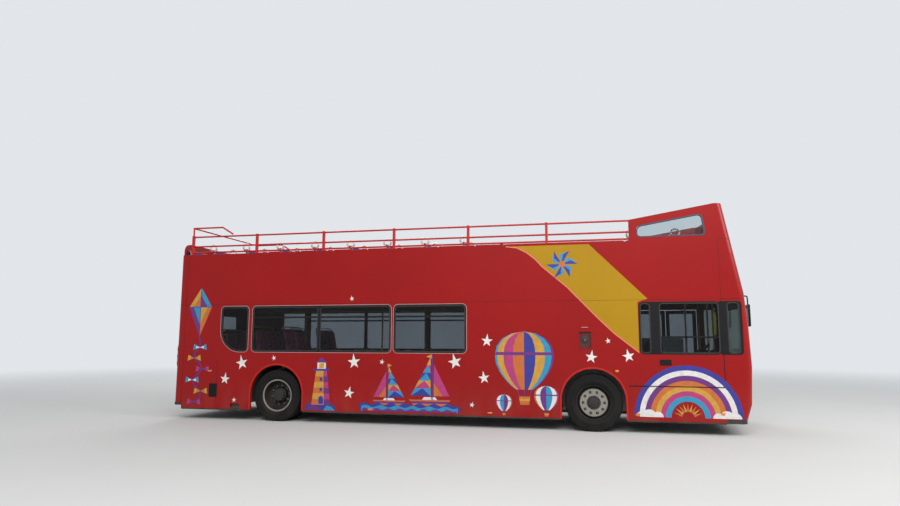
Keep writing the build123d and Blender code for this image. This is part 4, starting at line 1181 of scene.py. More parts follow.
def boat_shapes(flip=1):
    """One boat with its keel at the origin; flip turns it round."""
    sail = [(0.03, 0.20), (0.42, 0.20), (0.03, 0.92)]
    shapes = [
        ("orange", 1, [(-0.36, 0.13), (0.46, 0.13), (0.34, 0), (-0.24, 0)]),
        ("purple", 2, [(-0.33, 0.10), (0.43, 0.10), (0.40, 0.06), (-0.30, 0.06)]),
        ("white", 1, [(-0.10, 0.13), (0.20, 0.13), (0.16, 0.18), (-0.06, 0.18)]),
        ("blue", 2, [(-0.012, 0.13), (0.012, 0.13), (0.008, 0.98), (-0.008, 0.98)]),
        ("yellow", 3, [(0.008, 0.90), (0.12, 0.94), (0.008, 0.98)]),
        ("pink", 1, [(-0.03, 0.20), (-0.03, 0.80), (-0.34, 0.20)]),
        ("orange", 2, [(-0.03, 0.20), (-0.03, 0.45), (-0.21, 0.20)]),
    ]
    inks_up = ["cyan", "yellow", "blue", "pink", "cyan"]
    for index, ink in enumerate(inks_up):
        low, high = index / 5, (index + 1) / 5
        height = sail[2][1] - sail[0][1]
        reach = sail[1][0] - sail[0][0]
        panel = [
            (0.03, 0.20 + height * low),
            (0.03 + reach * (1 - low), 0.20 + height * low),
            (0.03 + reach * (1 - high), 0.20 + height * high),
            (0.03, 0.20 + height * high),
        ]
        shapes.append((ink, 1, panel))
        slash = [panel[0], panel[1], (panel[2][0] * 0.5 + 0.02, panel[2][1])]
        shapes.append((inks_up[(index + 2) % 5], 2, slash))
    return [(ink, layer, [(flip * x, z) for x, z in outline]) for ink, layer, outline in shapes]


def sea_shapes():
    """Two boats on three rows of waves, with the middle of the water at the origin."""
    shapes = []
    for place, size, flip in ((-0.42, 0.78, 1), (0.44, 0.96, -1)):
        for ink, layer, outline in boat_shapes(flip):
            shapes.append((ink, layer, [(place + size * x, 0.10 + size * z) for x, z in outline]))
    shapes.append(("blue", 4, wavy(-0.95, 0.95, 0.0, 0.135, 0.022, 7)))
    shapes.append(("cyan", 5, wavy(-0.92, 0.92, 0.0, 0.090, 0.020, 6)))
    shapes.append(("purple", 6, wavy(-0.90, 0.90, 0.0, 0.042, 0.016, 8)))
    return shapes


for side, label in sides():
    picture(f"boats_{label}", sea_shapes(), side, -0.52, 0.245, 0.98)

# %% [markdown]
# The balloons.
# A balloon is cut into gores. Each gore keeps its share of the width all the way down, which
# makes the flat shape look round. There are no windows behind the stairs, so the large balloon
# rises high there, and on the nearside it stays below the windows.

# %% Balloon shapes
balloon_widths = [0.0, 0.17, 0.30, 0.375, 0.40, 0.385, 0.335, 0.26, 0.18, 0.115]
balloon_rises = [0.98, 0.95, 0.88, 0.78, 0.66, 0.54, 0.43, 0.33, 0.25, 0.20]


def balloon_shapes(gores):
    """Balloon with the foot of its basket at the origin."""
    shapes = []
    edges = [math.sin(math.pi * (index / len(gores) - 0.5)) for index in range(len(gores) + 1)]
    for index, ink in enumerate(gores):
        rows = list(zip(balloon_widths, balloon_rises))
        left = [(edges[index] * width, rise) for width, rise in rows]
        right = [(edges[index + 1] * width, rise) for width, rise in rows[1:]]
        shapes.append((ink, 1, left + right[::-1]))
    shapes.append(("purple", 2, [(-0.385, 0.70), (0.385, 0.70), (0.40, 0.66), (-0.40, 0.66)]))
    for x in (-0.10, 0.0, 0.10):
        shapes.append(("blue", 0, ribbon([(x, 0.22), (x * 0.65, 0.10)], 0.010)))
    shapes.append(("orange", 1, [(-0.075, 0.11), (0.075, 0.11), (0.060, 0), (-0.060, 0)]))
    shapes.append(("yellow", 2, [(-0.072, 0.08), (0.072, 0.08), (0.070, 0.05), (-0.070, 0.05)]))
    return shapes


large_gores = ["cyan", "yellow", "pink", "orange", "blue", "yellow", "cyan", "purple"]
small_gores = ["orange", "white", "purple", "cyan", "white", "pink"]
for side, label in sides():
    large_scale = 1.28 if side < 0 else 0.80
    picture(f"large_balloon_{label}", balloon_shapes(large_gores), side, 1.56, 0.42, large_scale)
    picture(f"small_balloon_{label}", balloon_shapes(small_gores), side, 1.93, 0.235, 0.52)
    picture(f"far_balloon_{label}", balloon_shapes(small_gores[::-1]), side, 1.20, 0.235, 0.36)

# %% [markdown]
# The rainbow.
# Half rings in blue, white, orange and pink stand under the driver's window. The nearside has
# the doors there, so only the offside carries it. A small windmill toy sits high on the yellow.

# %% Rainbow and windmill shapes


def half_ring(inner, outer, steps=36):
    """Outline of half a ring that stands on its ends."""
    angles = [math.pi * index / steps for index in range(steps + 1)]
    arch = [(outer * math.cos(angle), outer * math.sin(angle)) for angle in angles]
    return arch + [(inner * math.cos(angle), inner * math.sin(angle)) for angle in angles[::-1]]


def rainbow_shapes():
    """Rainbow with a cloud at each foot, its middle at the origin."""
    shapes = []
    ring_inks = ["blue", "white", "purple", "orange", "yellow", "pink", "cyan"]
    for index, ink in enumerate(ring_inks):
        outer = 0.86 - 0.085 * index
        shapes.append((ink, 1, half_ring(outer - 0.085, outer)))
    for index in range(9):
        angle = math.radians(20 + 17.5 * index)
        tip = (0.24 * math.cos(angle), 0.24 * math.sin(angle))
        across = (-0.02 * math.sin(angle), 0.02 * math.cos(angle))
        foot = (0.10 * math.cos(angle), 0.10 * math.sin(angle))
        ray = [(foot[0] + end * across[0], foot[1] + end * across[1]) for end in (1, -1)] + [tip]
        shapes.append(("yellow" if index % 2 else "orange", 1, ray))
    for place in (-0.62, 0.60):
        for layer, shift, radius in ((2, -0.13, 0.085), (4, 0.0, 0.125), (3, 0.14, 0.09)):
            puff = half_ring(0.0, radius, 14)[:15]
            shapes.append(("white", layer, [(place + shift + x, z) for x, z in puff]))
    return shapes


def windmill_shapes():
    """Toy windmill of six folded blades round the origin."""
    shapes = []
    for index in range(6):
        turn = math.radians(60 * index)
        for ink, layer, ends in (("cyan", 1, (0.0, 0.75)), ("blue", 2, (0.0, 0.38))):
            blade = [(0, 0)]
            for angle, reach in ((turn + ends[0], 0.27), (turn + ends[1], 0.17)):
                blade.append((reach * math.cos(angle), reach * math.sin(angle)))
            shapes.append((ink, layer, blade))
    arch = half_ring(0.0, 0.055, 12)[:13]
    disc = arch + [(x, -z) for x, z in arch[11:0:-1]]
    shapes.append(("orange", 3, disc))
    return shapes


picture("rainbow_offside", rainbow_shapes(), -1, 4.215, 0.275, 0.98)
picture("windmill_offside", windmill_shapes(), -1, 2.24, 2.84)

# %% [markdown]
# Seams and small trim on the sides.
# Thin dark lines mark where the panels meet. Each wheel arch has a pressed lip, a little lighter
# than the paint as a painted highlight. Under the skirt runs a strip of black rubber that stands
# for the shade under the skirt.

# %% Seams, arch lips and skirt strip
front_seam_x = 4.805
rear_seam_x = -5.156
seam_width = 0.004
arch_half = 0.530
arch_centre_z = 0.515
lip_width = 0.030
flap_z = 0.770
skirt_runs = [(-5.150, -3.680), (-2.590, 2.176), (3.262, 4.800)]


def arch_outline(axle_x):
    """Lip round one wheel arch, with its straight legs."""
    outline = []
    for radius, order in ((arch_half + lip_width, 1), (arch_half, -1)):
        row = [(axle_x + radius, skirt_z)]
        for index in range(33):
            angle = math.pi * index / 32
            x = axle_x + radius * math.cos(angle)
            row.append((x, arch_centre_z + radius * math.sin(angle)))
        row.append((axle_x - radius, skirt_z))
        outline += row[::order]
    return outline


for side, label in sides():
    seams = bmesh.new()
    upright = [(-4.403, skirt_z, 1.150), (rear_seam_x, 0.262, 3.200), (front_seam_x, 0.267, 3.200)]
    for x, low, high in upright:
        gather(seams, strip_along([(x, low), (x, high)], seam_width, side, 0.0006, 0.0004))
    level = [(rear_seam_x, 4.900, split_z), (3.455 if side < 0 else 3.300, 3.540, flap_z)]
    if side < 0:
        level.append((3.540, 4.800, flap_z))
    for low, high, z in level:
        gather(seams, strip_along([(low, z), (high, z)], seam_width, side, 0.0006, 0.0004))
    finish_piece(f"panel_seams_{label}", seams, black_trim)
    lips = bmesh.new()
    for axle_x in (front_axle_x, rear_axle_x):
        gather(lips, side_plate(arch_outline(axle_x), side, 0.0002, 0.0065))
    finish_piece(f"arch_lips_{label}", lips, arch_lip_highlight, smooth_angle=40)
    # Black strips under the skirts, put there as painted shade under the body.
    strips = bmesh.new()
    for run in skirt_runs:
        strip_y = outboard(side, side_y - 0.030, side_y - 0.004)
        add_box(strips, run, strip_y, (skirt_z - 0.026, skirt_z + 0.004), 0.004)
    finish_piece(f"skirt_shade_strips_{label}", strips, rubber)

# %% [markdown]
# Filler, grille, lamps and reflectors.
# The filler cap sits in a dished recess on the driver's side. The grille near the rear corner
# is a frame with slats. Side lamps and reflectors are small lenses in black rims.

# %% Side fittings


def lens(x, z, half_x, half_z, side, proud=0.010):
    """Small domed lens on a side, as a box with strongly rounded edges."""
    y = outboard(side, side_y - 0.002, side_y + proud)
    radius = min(half_x, half_z, proud) * 0.7
    return box_shape(about(x, half_x), y, about(z, half_z), radius, 3)


def rim_plate(x, z, half_x, half_z, side, proud=0.004):
    """Black rim that a lens sits in."""
    y = outboard(side, side_y - 0.001, side_y + proud)
    return box_shape(about(x, half_x), y, about(z, half_z), 0.0015, 1)


lenses_at = {
    "amber_markers": [
        (-4.560, 0.92, 0.045, 0.016), (-1.25, 0.268, 0.045, 0.014), (0.95, 0.268, 0.045, 0.014),
        (3.115, 1.010, 0.030, 0.020),
    ],
    "reflectors": [(4.749, 0.350, 0.030, 0.022), (3.420, 0.300, 0.030, 0.020)],
}
for side, label in sides():
    for name, places in lenses_at.items():
        glow, rims = bmesh.new(), bmesh.new()
        for x, z, half_x, half_z in places:
            gather(glow, lens(x, z, half_x, half_z, side))
            gather(rims, rim_plate(x, z, half_x + 0.006, half_z + 0.006, side))
        finish_piece(f"{name}_{label}", glow, amber_lens, smooth_angle=50)
        finish_piece(f"{name}_rims_{label}", rims, black_trim)
    if side < 0:
        dark = rim_plate(3.900, 1.160, 0.090, 0.045, side, 0.012)
        finish_piece("side_camera_cover", dark, black_trim)

filler_x = (2.512, 2.703)
filler_z = (1.382, 1.667)
cap_centre = (2.603, 1.527)
# Back of the filler recess: dark red as painted shade.
filler_recess_shade = make_finish(
    "painted recess shade", (84, 12, 12), (66, 9, 9), 9, 1.2, 0.6, dust=0.2, dust_height=2.0
)
recess_y = -(side_y - 0.030)
filler_corners = box_corners(filler_x, filler_z, 0.014)
filler_frame = side_ring(filler_corners, -side_y, (0.022,) * 4, 0.015, -0.004)
finish_piece("filler_frame", filler_frame, red_paint)
cap_profile = [
    (0.0, 0.0), (0.0, 0.058), (0.008, 0.058), (0.012, 0.052), (0.012, 0.030), (0.022, 0.028),
    (0.022, 0.0),
]
cap_at = (cap_centre[0], recess_y, cap_centre[1])
cap = turned(cap_profile, cap_at, -1, 32)
finish_piece("filler_cap", cap, chassis_black, smooth_angle=40)
backing = box_shape(filler_x, sorted((recess_y, recess_y - 0.002)), filler_z, 0.0005, 1)
finish_piece("filler_backing", backing, filler_recess_shade)
lock_profile = [(0.020, 0.0), (0.020, 0.016), (0.026, 0.014), (0.028, 0.0)]
lock = turned(lock_profile, cap_at, -1, 20)
finish_piece("filler_lock", lock, bare_steel, smooth_angle=40)
gutter = strip_along([(2.548, 1.742), (2.660, 1.742)], 0.012, -1, 0.0006, 0.010)
finish_piece("filler_gutter", gutter, pale_trim_and_highlight)

grille_x = (-4.548, -4.397)
grille_z = (0.437, 0.672)
slat_x = (grille_x[0] + 0.004, grille_x[1] - 0.004)
for side, label in sides():
    corners = box_corners(grille_x, grille_z, 0.010)
    grille = side_ring(corners, side * side_y, (0.012,) * 4, 0.014, side * 0.005)
    gather(grille, side_plate(box_corners(grille_x, grille_z), side, 0.0002, 0.0008))
    for index in range(9):
        z = grille_z[0] + 0.018 + index * 0.025
        slat_y = outboard(side, side_y, side_y + 0.006)
        add_box(grille, slat_x, slat_y, (z, z + 0.009), 0.002, 1)
    finish_piece(f"side_grille_{label}", grille, black_trim)

# %% [markdown]
# The tyres.
# A tyre is turned from its half section: beads, a bulging sidewall with a raised rib, rounded
# shoulders, and a tread with four grooves. The shoulder blocks are then cut by sinking every
# third face of the two outer bands. One tyre is made at the origin and copied to its places.

# %% Tyres
tyre_half = 0.1315
tyre_radius = 0.478
bead_radius = 0.299
tyre_steps = 120
wheel_y = {"front": 1.110, "rear": 1.098}
twin_spacing = 0.315
tread_depth = 0.010
groove_half = 0.0045
groove_places = (-0.066, -0.024, 0.024, 0.066)


def tyre_profile():
    """Half section from the inner bead over the tread to the outer bead."""
    sidewall = [
        (tyre_half - 0.024, bead_radius), (tyre_half - 0.010, bead_radius + 0.012),
        (tyre_half - 0.004, bead_radius + 0.030), (tyre_half - 0.002, bead_radius + 0.052),
        (tyre_half, bead_radius + 0.056), (tyre_half, bead_radius + 0.062),
        (tyre_half - 0.002, bead_radius + 0.066), (tyre_half - 0.003, bead_radius + 0.110),
        (tyre_half - 0.008, bead_radius + 0.142), (tyre_half - 0.011, bead_radius + 0.158),
        (tyre_half - 0.020, bead_radius + 0.172), (tyre_half - 0.032, tyre_radius),
    ]
    tread = []
    for place in groove_places[::-1]:
        tread += [
            (place + groove_half, tyre_radius),
            (place + groove_half * 0.7, tyre_radius - tread_depth),
            (place - groove_half * 0.7, tyre_radius - tread_depth),
            (place - groove_half, tyre_radius),
        ]
    inner = [(-out, r) for out, r in sidewall[::-1]]
    bore = [(-tyre_half + 0.024, bead_radius), (tyre_half - 0.024, bead_radius)]
    return sidewall + tread + inner + bore[1:]


def make_tyre():
    """One tyre about the Y axis, centred at the origin."""
    part = turned(tyre_profile(), origin, 1, tyre_steps)
    part.normal_update()
    outer_band = []
    for face in part.faces:
        middle = face.calc_center_median()
        radius = math.hypot(middle.x, middle.z)
        spoke = round(math.degrees(math.atan2(middle.z, middle.x)) * tyre_steps / 360 - 0.5)
        shoulder = 0.070 < abs(middle.y) < tyre_half - 0.012 and radius > bead_radius + 0.160
        if shoulder and spoke % 3 == 0:
            outer_band.append(face)
    sunk = bmesh.ops.extrude_discrete_faces(part, faces=outer_band)
    for face in sunk["faces"]:
        for vert in face.verts:
            along = Vector((vert.co.x, 0, vert.co.z)).normalized()
            vert.co -= along * tread_depth * 0.7
    return part


tyre = make_tyre()
print("faces of one tyre:", len(tyre.faces))
for side, label in sides():
    front_tyre = bmesh.new()
    place = at(front_axle_x, side * wheel_y["front"], axle_z)
    gather(front_tyre, tyre, place, keep=True)
    piece = finish_piece(
        f"front_tyre_{label}", front_tyre, tyre_rubber, f"wheel_front_{label}", 32
    )
    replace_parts(piece, f"tyre_front_{label}")
    rear_tyres = bmesh.new()
    for inset in (0, twin_spacing):
        place = at(rear_axle_x, side * (wheel_y["rear"] - inset), axle_z)
        gather(rear_tyres, tyre, place, keep=True)
    piece = finish_piece(
        f"rear_tyres_{label}", rear_tyres, tyre_rubber, f"wheels_rear_{label}", 32
    )
    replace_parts(piece, f"tyres_rear_{label}")
tyre.free()

# %% [markdown]
# The front wheels.
# A pressed disc closes the wheel near its outer side. It has a bright face with ten round holes
# and a nut deep in each hole. Holes in a flat ring are easiest as loops that are filled in
# between, so the disc is cut flat and pushed out. Rim, barrel and hub are turned, and are
# painted near black as painted shade with road dust.

# %% Front wheels
disc_out = 0.088
hole_ring = 0.178
hole_radius = 0.024
hole_count = 10
front_barrel = [
    (-0.098, 0.2975), (0.098, 0.2975), (0.102, 0.292), (0.102, 0.284), (0.094, 0.281),
    (0.070, 0.272), (0.040, 0.262), (0.052, 0.250), (0.070, 0.238), (0.070, 0.190),
    (-0.005, 0.190), (-0.098, 0.190),
]
front_hub = [
    (0.060, 0.0), (0.060, 0.118), (0.092, 0.118), (0.098, 0.112), (0.098, 0.088), (0.110, 0.082),
    (0.114, 0.070), (0.114, 0.0),
]


def upright_circle(radius, steps, centre=(0, 0)):
    """Flat disc in the plane of the wheel."""
    part = bmesh.new()
    bmesh.ops.create_circle(part, cap_ends=True, segments=steps, radius=radius)
    turn = rotation(90, "X")
    place = at(centre[0], 0, centre[1])
    transform(part, place @ turn)
    return part


def ring_places(count, radius, start=0.0):
    """Evenly spaced places on a circle in the plane of the wheel."""
    places = []
    for index in range(count):
        angle = math.tau * index / count + start
        places.append((radius * math.cos(angle), radius * math.sin(angle)))
    return places


def wheel_nut(x, z, out, radius=0.014, height=0.016):
    """Six-sided nut with a rounded edge, on the wheel's plane."""
    part = bmesh.new()
    bmesh.ops.create_cone(
        part, cap_ends=True, segments=6, radius1=radius, radius2=radius * 0.94, depth=height
    )
    turn = rotation(90, "X")
    place = at(x, out, z)
    transform(part, place @ turn)
    round_off(part, part.edges[:], 0.0012, 1, "EDGES")
    return part


def front_wheel_parts():
    """Disc, parts in painted shade and nuts of a front wheel, with the outboard side along +Y."""
    outer = upright_circle(0.228, 72)
    holes = [upright_circle(0.116, 48)]
    holes += [upright_circle(hole_radius, 20, spot) for spot in ring_places(hole_count, hole_ring)]
    disc = push_out(pierced_face(outer, holes), (0, 0.009, 0))
    slide(disc, (0, disc_out, 0))
    dark = turned(front_barrel, origin, 1, 72)
    gather(dark, turned(front_hub, origin, 1, 48))
    nuts = bmesh.new()
    for x, z in ring_places(hole_count, hole_ring):
        gather(nuts, wheel_nut(x, z, 0.078))
    for x, z in ring_places(8, 0.098, 0.2):
        gather(nuts, wheel_nut(x, z, 0.100, 0.007, 0.006))
    return disc, dark, nuts


def fit_wheels(end, axle_x, carrier, parts):
    """Copies of one wheel's parts on both sides, the rim in place of the solid one."""
    for side, label in sides():
        place = at(axle_x, side * wheel_y[end], axle_z) @ Matrix.Diagonal((1, side, 1, 1))
        body = f"{carrier}_{label}"
        for name, part, material in parts:
            whole = bmesh.new()
            gather(whole, part, place, keep=True)
            piece = finish_piece(
                f"{end}_{name}_{label}", whole, material, body, 35
            )
            if name == "rim":
                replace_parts(piece, f"rim_{end}_{label}")
    for name, part, material in parts:
        part.free()


disc, dark, nuts = front_wheel_parts()
front_parts = (("disc", disc, wheel_silver), ("rim", dark, wheel_shade_and_dust), ("nuts", nuts, bare_steel))
fit_wheels("front", front_axle_x, "wheel_front", front_parts)

# %% [markdown]
# The rear wheels.
# The disc of a twin wheel sits deep inside, so one looks into a dish that is painted near black
# as painted shade. Only the edge of the rim stays bright. The hub of the driven axle stands out
# of the dish with a ring of bolts.

# %% Rear wheels
rear_barrel = [
    (-0.412, 0.2975), (0.096, 0.2975), (0.096, 0.270), (0.060, 0.266), (-0.030, 0.256),
    (-0.056, 0.235), (-0.060, 0.200), (-0.052, 0.150), (-0.412, 0.150),
]
rear_lip = [
    (0.0962, 0.272), (0.0962, 0.2985), (0.101, 0.303), (0.106, 0.298), (0.106, 0.276),
    (0.101, 0.271),
]
rear_hub = [
    (-0.060, 0.0), (-0.060, 0.140), (0.010, 0.132), (0.020, 0.118), (0.052, 0.112), (0.062, 0.100),
    (0.074, 0.094), (0.074, 0.0),
]
lip = turned(rear_lip, origin, 1, 96)
dark = turned(rear_barrel, origin, 1, 72)
gather(dark, turned(rear_hub, origin, 1, 48))
nuts = bmesh.new()
for x, z in ring_places(hole_count, 0.176, 0.15):
    gather(nuts, wheel_nut(x, z, -0.044, 0.016, 0.024))
for x, z in ring_places(10, 0.103, 0.3):
    gather(nuts, wheel_nut(x, z, 0.064, 0.008, 0.008))
rear_parts = (("lip", lip, wheel_silver), ("rim", dark, wheel_shade_and_dust), ("nuts", nuts, bare_steel))
fit_wheels("rear", rear_axle_x, "wheels_rear", rear_parts)

# %% [markdown]
# Arch liners.
# Behind each arch hangs a bent sheet of black plastic that keeps spray off the body. It is the
# edge of a narrow strip, spun part of a turn about the axle.

# %% Arch liners
liner_radius = 0.560
liner_thickness = 0.004
liner_reach = math.radians(232)
liner_y = (0.606, 1.204)
liner_foot_z = 0.335
liner_section = [
    (liner_y[0], 0), (liner_y[1], 0), (liner_y[1], liner_thickness), (liner_y[0], liner_thickness)
]
for side, label in sides():
    liners = bmesh.new()
    for axle_x in (front_axle_x, rear_axle_x):
        part = bmesh.new()
        verts = [
            part.verts.new((axle_x, side * y, axle_z + liner_radius + up))
            for y, up in liner_section
        ]
        face = part.faces.new(verts)
        turn_back = Matrix.Rotation(-liner_reach / 2, 4, "Y")
        centre = at(axle_x, 0, axle_z)
        transform(part, centre @ turn_back @ centre.inverted())
        bmesh.ops.spin(
            part,
            geom=[face, *face.edges, *face.verts],
            cent=(axle_x, 0, axle_z),
            axis=(0, 1, 0),
            angle=liner_reach,
            steps=28,
        )
        cut_below(part, liner_foot_z)
        gather(liners, part)
    finish_piece(
        f"arch_liners_{label}", liners, chassis_black, smooth_angle=30
    )

# %% [markdown]
# Tubes.
# Handles, grab poles, seat edges and wiper arms are all tubes. A ring of points is set across
# the path at each of its points, and neighbouring rings are bridged. A rounded path comes from
# a smooth curve through a few given points.

# %% Tube helpers


def rounded_path(points, steps=5):
    """Smooth row of points through a few given ones."""
    places = [Vector(point) for point in points]
    row = []
    for index in range(len(places) - 1):
        first = places[max(index - 1, 0)]
        second, third = places[index], places[index + 1]
        fourth = places[min(index + 2, len(places) - 1)]
        for step in range(steps):
            t = step / steps
            bend = 2 * first - 5 * second + 4 * third - fourth
            twist = 3 * second - first - 3 * third + fourth
            row.append(0.5 * (2 * second + (third - first) * t + bend * t**2 + twist * t**3))
    return [*row, places[-1]]


def tube_along(points, radius, steps=8):
    """Closed tube of one radius along a row of points."""
    points = [Vector(point) for point in points]
    part = bmesh.new()
    rings = []
    for index, point in enumerate(points):
        along = points[min(index + 1, len(points) - 1)] - points[max(index - 1, 0)]
        turn = along.to_track_quat("Z", "Y").to_matrix().to_4x4()
        made = bmesh.ops.create_circle(part, segments=steps, radius=radius)
        bmesh.ops.transform(part, matrix=Matrix.Translation(point) @ turn, verts=made["verts"])
        rings.append(list({edge for vert in made["verts"] for edge in vert.link_edges}))
    for low, high in zip(rings, rings[1:]):
        bmesh.ops.bridge_loops(part, edges=low + high)
    bmesh.ops.holes_fill(part, edges=part.edges[:])
    return part


def add_tube(shape, *tube):
    """Adds one tube to a shape."""
    gather(shape, tube_along(*tube))


def bridged(rows):
    """Sheet between rows of points, each row as long as the next."""
    part = bmesh.new()
    lines = []
    for row in rows:
        verts = [part.verts.new(point) for point in row]
        lines.append([part.edges.new(pair) for pair in zip(verts, verts[1:])])
    for low, high in zip(lines, lines[1:]):
        bmesh.ops.bridge_loops(part, edges=low + high)
    return part


# %% [markdown]
# The seats of the open deck.
# They stay out in the rain, so they are moulded plastic without a cover. The shell is one curved
# sheet with a hollow for each rider. It is made from a row of side outlines, each sunk a little
# by how far across the seat it lies. Solidify gives the sheet its wall.

# %% Deck seat shell
seat_half = 0.440
shell_outline = [
    (0.412, 0.430), (0.420, 0.452), (0.405, 0.470), (0.330, 0.468), (0.220, 0.455), (0.110, 0.448),
    (0.050, 0.462), (0.020, 0.510), (0.005, 0.600), (-0.018, 0.720), (-0.042, 0.840),
    (-0.062, 0.918), (-0.075, 0.944), (-0.094, 0.944), (-0.104, 0.920),
]
shell_columns = 22
hollow_depth = 0.020


def shell_rows(half, places):
    """Side outlines across a seat for so many riders, each sunk by its hollow."""
    rows = []
    for column in range(shell_columns + 1):
        across = -half + 2 * half * column / shell_columns
        share = (across + half) / (2 * half) * places % 1.0
        sink = math.sin(math.pi * share) ** 0.8 if 0 < column < shell_columns else 0.0
        row = []
        for index, (x, z) in enumerate(shell_outline):
            if 2 <= index <= 6:
                row.append((x, across, z - hollow_depth * sink))
            elif 7 <= index <= 11:
                row.append((x - hollow_depth * sink, across, z))
            else:
                row.append((x, across, z))
        rows.append(row)
    return rows


def shell_part(half=seat_half, places=2):
    """Moulded shell with its wall, on the floor with its back at the origin."""
    part = bridged(shell_rows(half, places))
    bmesh.ops.recalc_face_normals(part, faces=part.faces)
    top = max(part.faces, key=lambda face: face.calc_center_median().x)
    wall = 0.009 if top.normal.x > 0 else -0.009
    bmesh.ops.solidify(part, geom=part.faces[:], thickness=wall)
    return part


# %% [markdown]
# One double seat, then all of them.
# An orange edge tube runs over the back, a steel frame carries the shell, and white loops on top
# give a hand hold. The seat is made once and gathered at each place that the stairwell leaves
# free, so that all the shells are one piece, and the tubes, frames and loops one piece each.

# %% Deck seats


def deck_seat_parts():
    """Shell, edge tube, steel frame and loops of one double seat."""
    shell = shell_part()
    back_edge = [
        (-0.002, -seat_half, 0.560), (-0.060, -seat_half, 0.890),
        (-0.090, -seat_half + 0.030, 0.946), (-0.092, 0.0, 0.950),
        (-0.090, seat_half - 0.030, 0.946), (-0.060, seat_half, 0.890), (-0.002, seat_half, 0.560),
    ]
    edge = tube_along(rounded_path(back_edge), 0.008, 6)
    add_tube(edge, [(0.417, -seat_half, 0.448), (0.417, seat_half, 0.448)], 0.008, 6)
    frame = bmesh.new()
    for across in (-0.16, 0.16):
        for x in (0.10, 0.32):
            add_box(frame, about(x, 0.014), about(across, 0.014), (0.012, 0.425), 0.003, 1)
        add_box(frame, (0.060, 0.380), about(across, 0.016), (0.412, 0.436), 0.003, 1)
        add_box(frame, (0.070, 0.350), about(across, 0.030), (0.0, 0.012), 0.003, 1)
    add_box(frame, (0.200, 0.230), (-0.40, 0.40), (0.414, 0.436), 0.003, 1)
    loops = bmesh.new()
    for end in (-1, 1):
        across = end * 0.36
        path = [
            (-0.070, across, 0.890), (-0.040, across, 0.945), (-0.026, across, 0.995),
            (-0.052, across, 1.042), (-0.104, across, 1.056), (-0.152, across, 1.032),
            (-0.164, across, 0.982), (-0.140, across, 0.938), (-0.098, across, 0.900),
        ]
        add_tube(loops, rounded_path(path, 3), 0.017, 7)
    return {
        "shells": (shell, seat_shell),
        "edges": (edge, seat_edge),
        "frames": (frame, bare_steel),
        "loops": (loops, handle_white),
    }


row_pitch = 0.740
first_deck_seat = rear_x + 0.700
seat_y = 0.734
stairwell = (1.180, 2.715)
deck_rows = 13
room_ahead, room_behind = 0.500, 0.150
deck_places = []
for side, label in sides():
    for index in range(deck_rows):
        x = first_deck_seat + index * row_pitch
        behind_stairs = x + room_ahead < stairwell[0]
        if side > 0 or behind_stairs or x > stairwell[1] + room_behind:
            deck_places.append(at(x, side * seat_y, deck_z))
print("double seats on the deck:", len(deck_places))
for name, (part, material) in deck_seat_parts().items():
    whole = bmesh.new()
    for place in deck_places:
        gather(whole, part, place, keep=True)
    part.free()
    piece = finish_piece(f"deck_seat_{name}", whole, material, smooth_angle=50)
    if name == "shells":
        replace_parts(piece, "upper_seats")

# %% [markdown]
# Pads.
# The lower deck has padded seats. A pad is a block of foam in a tight cover, so a slightly small
# block is blown up as cloth. The remesh gives it an even net. The cap on how far a point may
# move keeps the pad flat below. Each pad is blown up once, for the passengers' seats and for
# the driver's, and then copied.

# %% Pads blown up as cloth
pad_table = {
    "cushion": ("cushion_pad", (0.395, 0.410, 0.060), 0.020, 0.016),
    "back": ("back_pad", (0.048, 0.410, 0.450), 0.020, 0.013),
    "driver_cushion": ("driver_pad", (0.430, 0.460, 0.085), 0.016, 0.018),
    "driver_back": ("driver_back_pad", (0.075, 0.450, 0.600), 0.016, 0.016),
}
pressure = 4
cloth_frames = 20


def blown_pad(name, size, voxel, cap):
    """Mesh of a pad about the origin, blown up from a block of one size."""
    block = box_shape(*[(-part / 2, part / 2) for part in size], min(size) * 0.28, 3)
    start = bpy.data.meshes.new(name)
    block.to_mesh(start)
    block.free()
    pad = bpy.data.objects.new(name, start)
    bpy.context.scene.collection.objects.link(pad)
    net = pad.modifiers.new("net", "REMESH")
    net.mode = "VOXEL"
    net.voxel_size = voxel
    apply_modifiers(pad)
    rest = [vert.co.copy() for vert in pad.data.vertices]
    cover = pad.modifiers.new("cover", "CLOTH")
    cover.settings.use_pressure = True
    cover.settings.uniform_pressure_force = pressure
    cover.settings.effector_weights.gravity = 0
    for frame_number in range(1, cloth_frames + 1):
        bpy.context.scene.frame_set(frame_number)
    apply_modifiers(pad)
    for vert, place in zip(pad.data.vertices, rest):
        move = vert.co - place
        if move.length > cap:
            vert.co = place + move * cap / move.length
    bpy.context.scene.frame_set(1)
    mesh = pad.data
    bpy.data.objects.remove(pad)
    return mesh


def apply_modifiers(piece):
    """Leaves a piece with the mesh that its modifiers give."""
    graph = bpy.context.evaluated_depsgraph_get()
    made = bpy.data.meshes.new_from_object(piece.evaluated_get(graph))
    piece.modifiers.clear()
    piece.data = made


pads = {name: blown_pad(*row) for name, row in pad_table.items()}
for name, mesh in pads.items():
    print(name, "pad has", len(mesh.polygons), "faces")

# %% [markdown]
# The seats of the lower deck.
# Each seat gets its cushion and back pad with a piped seam round the front of each. A thin dark
# shell and a leg stay below and behind. The pads lean back with the seat. Where seats stand on
# the wheel boxes, the leg is shorter.

# %% Lower seats
back_lean = math.atan2(0.110, 0.550)


def mesh_part(mesh, place):
    """bmesh of a mesh moved by a matrix."""
    part = bmesh.new()
    part.from_mesh(mesh)
    transform(part, place)
    return part


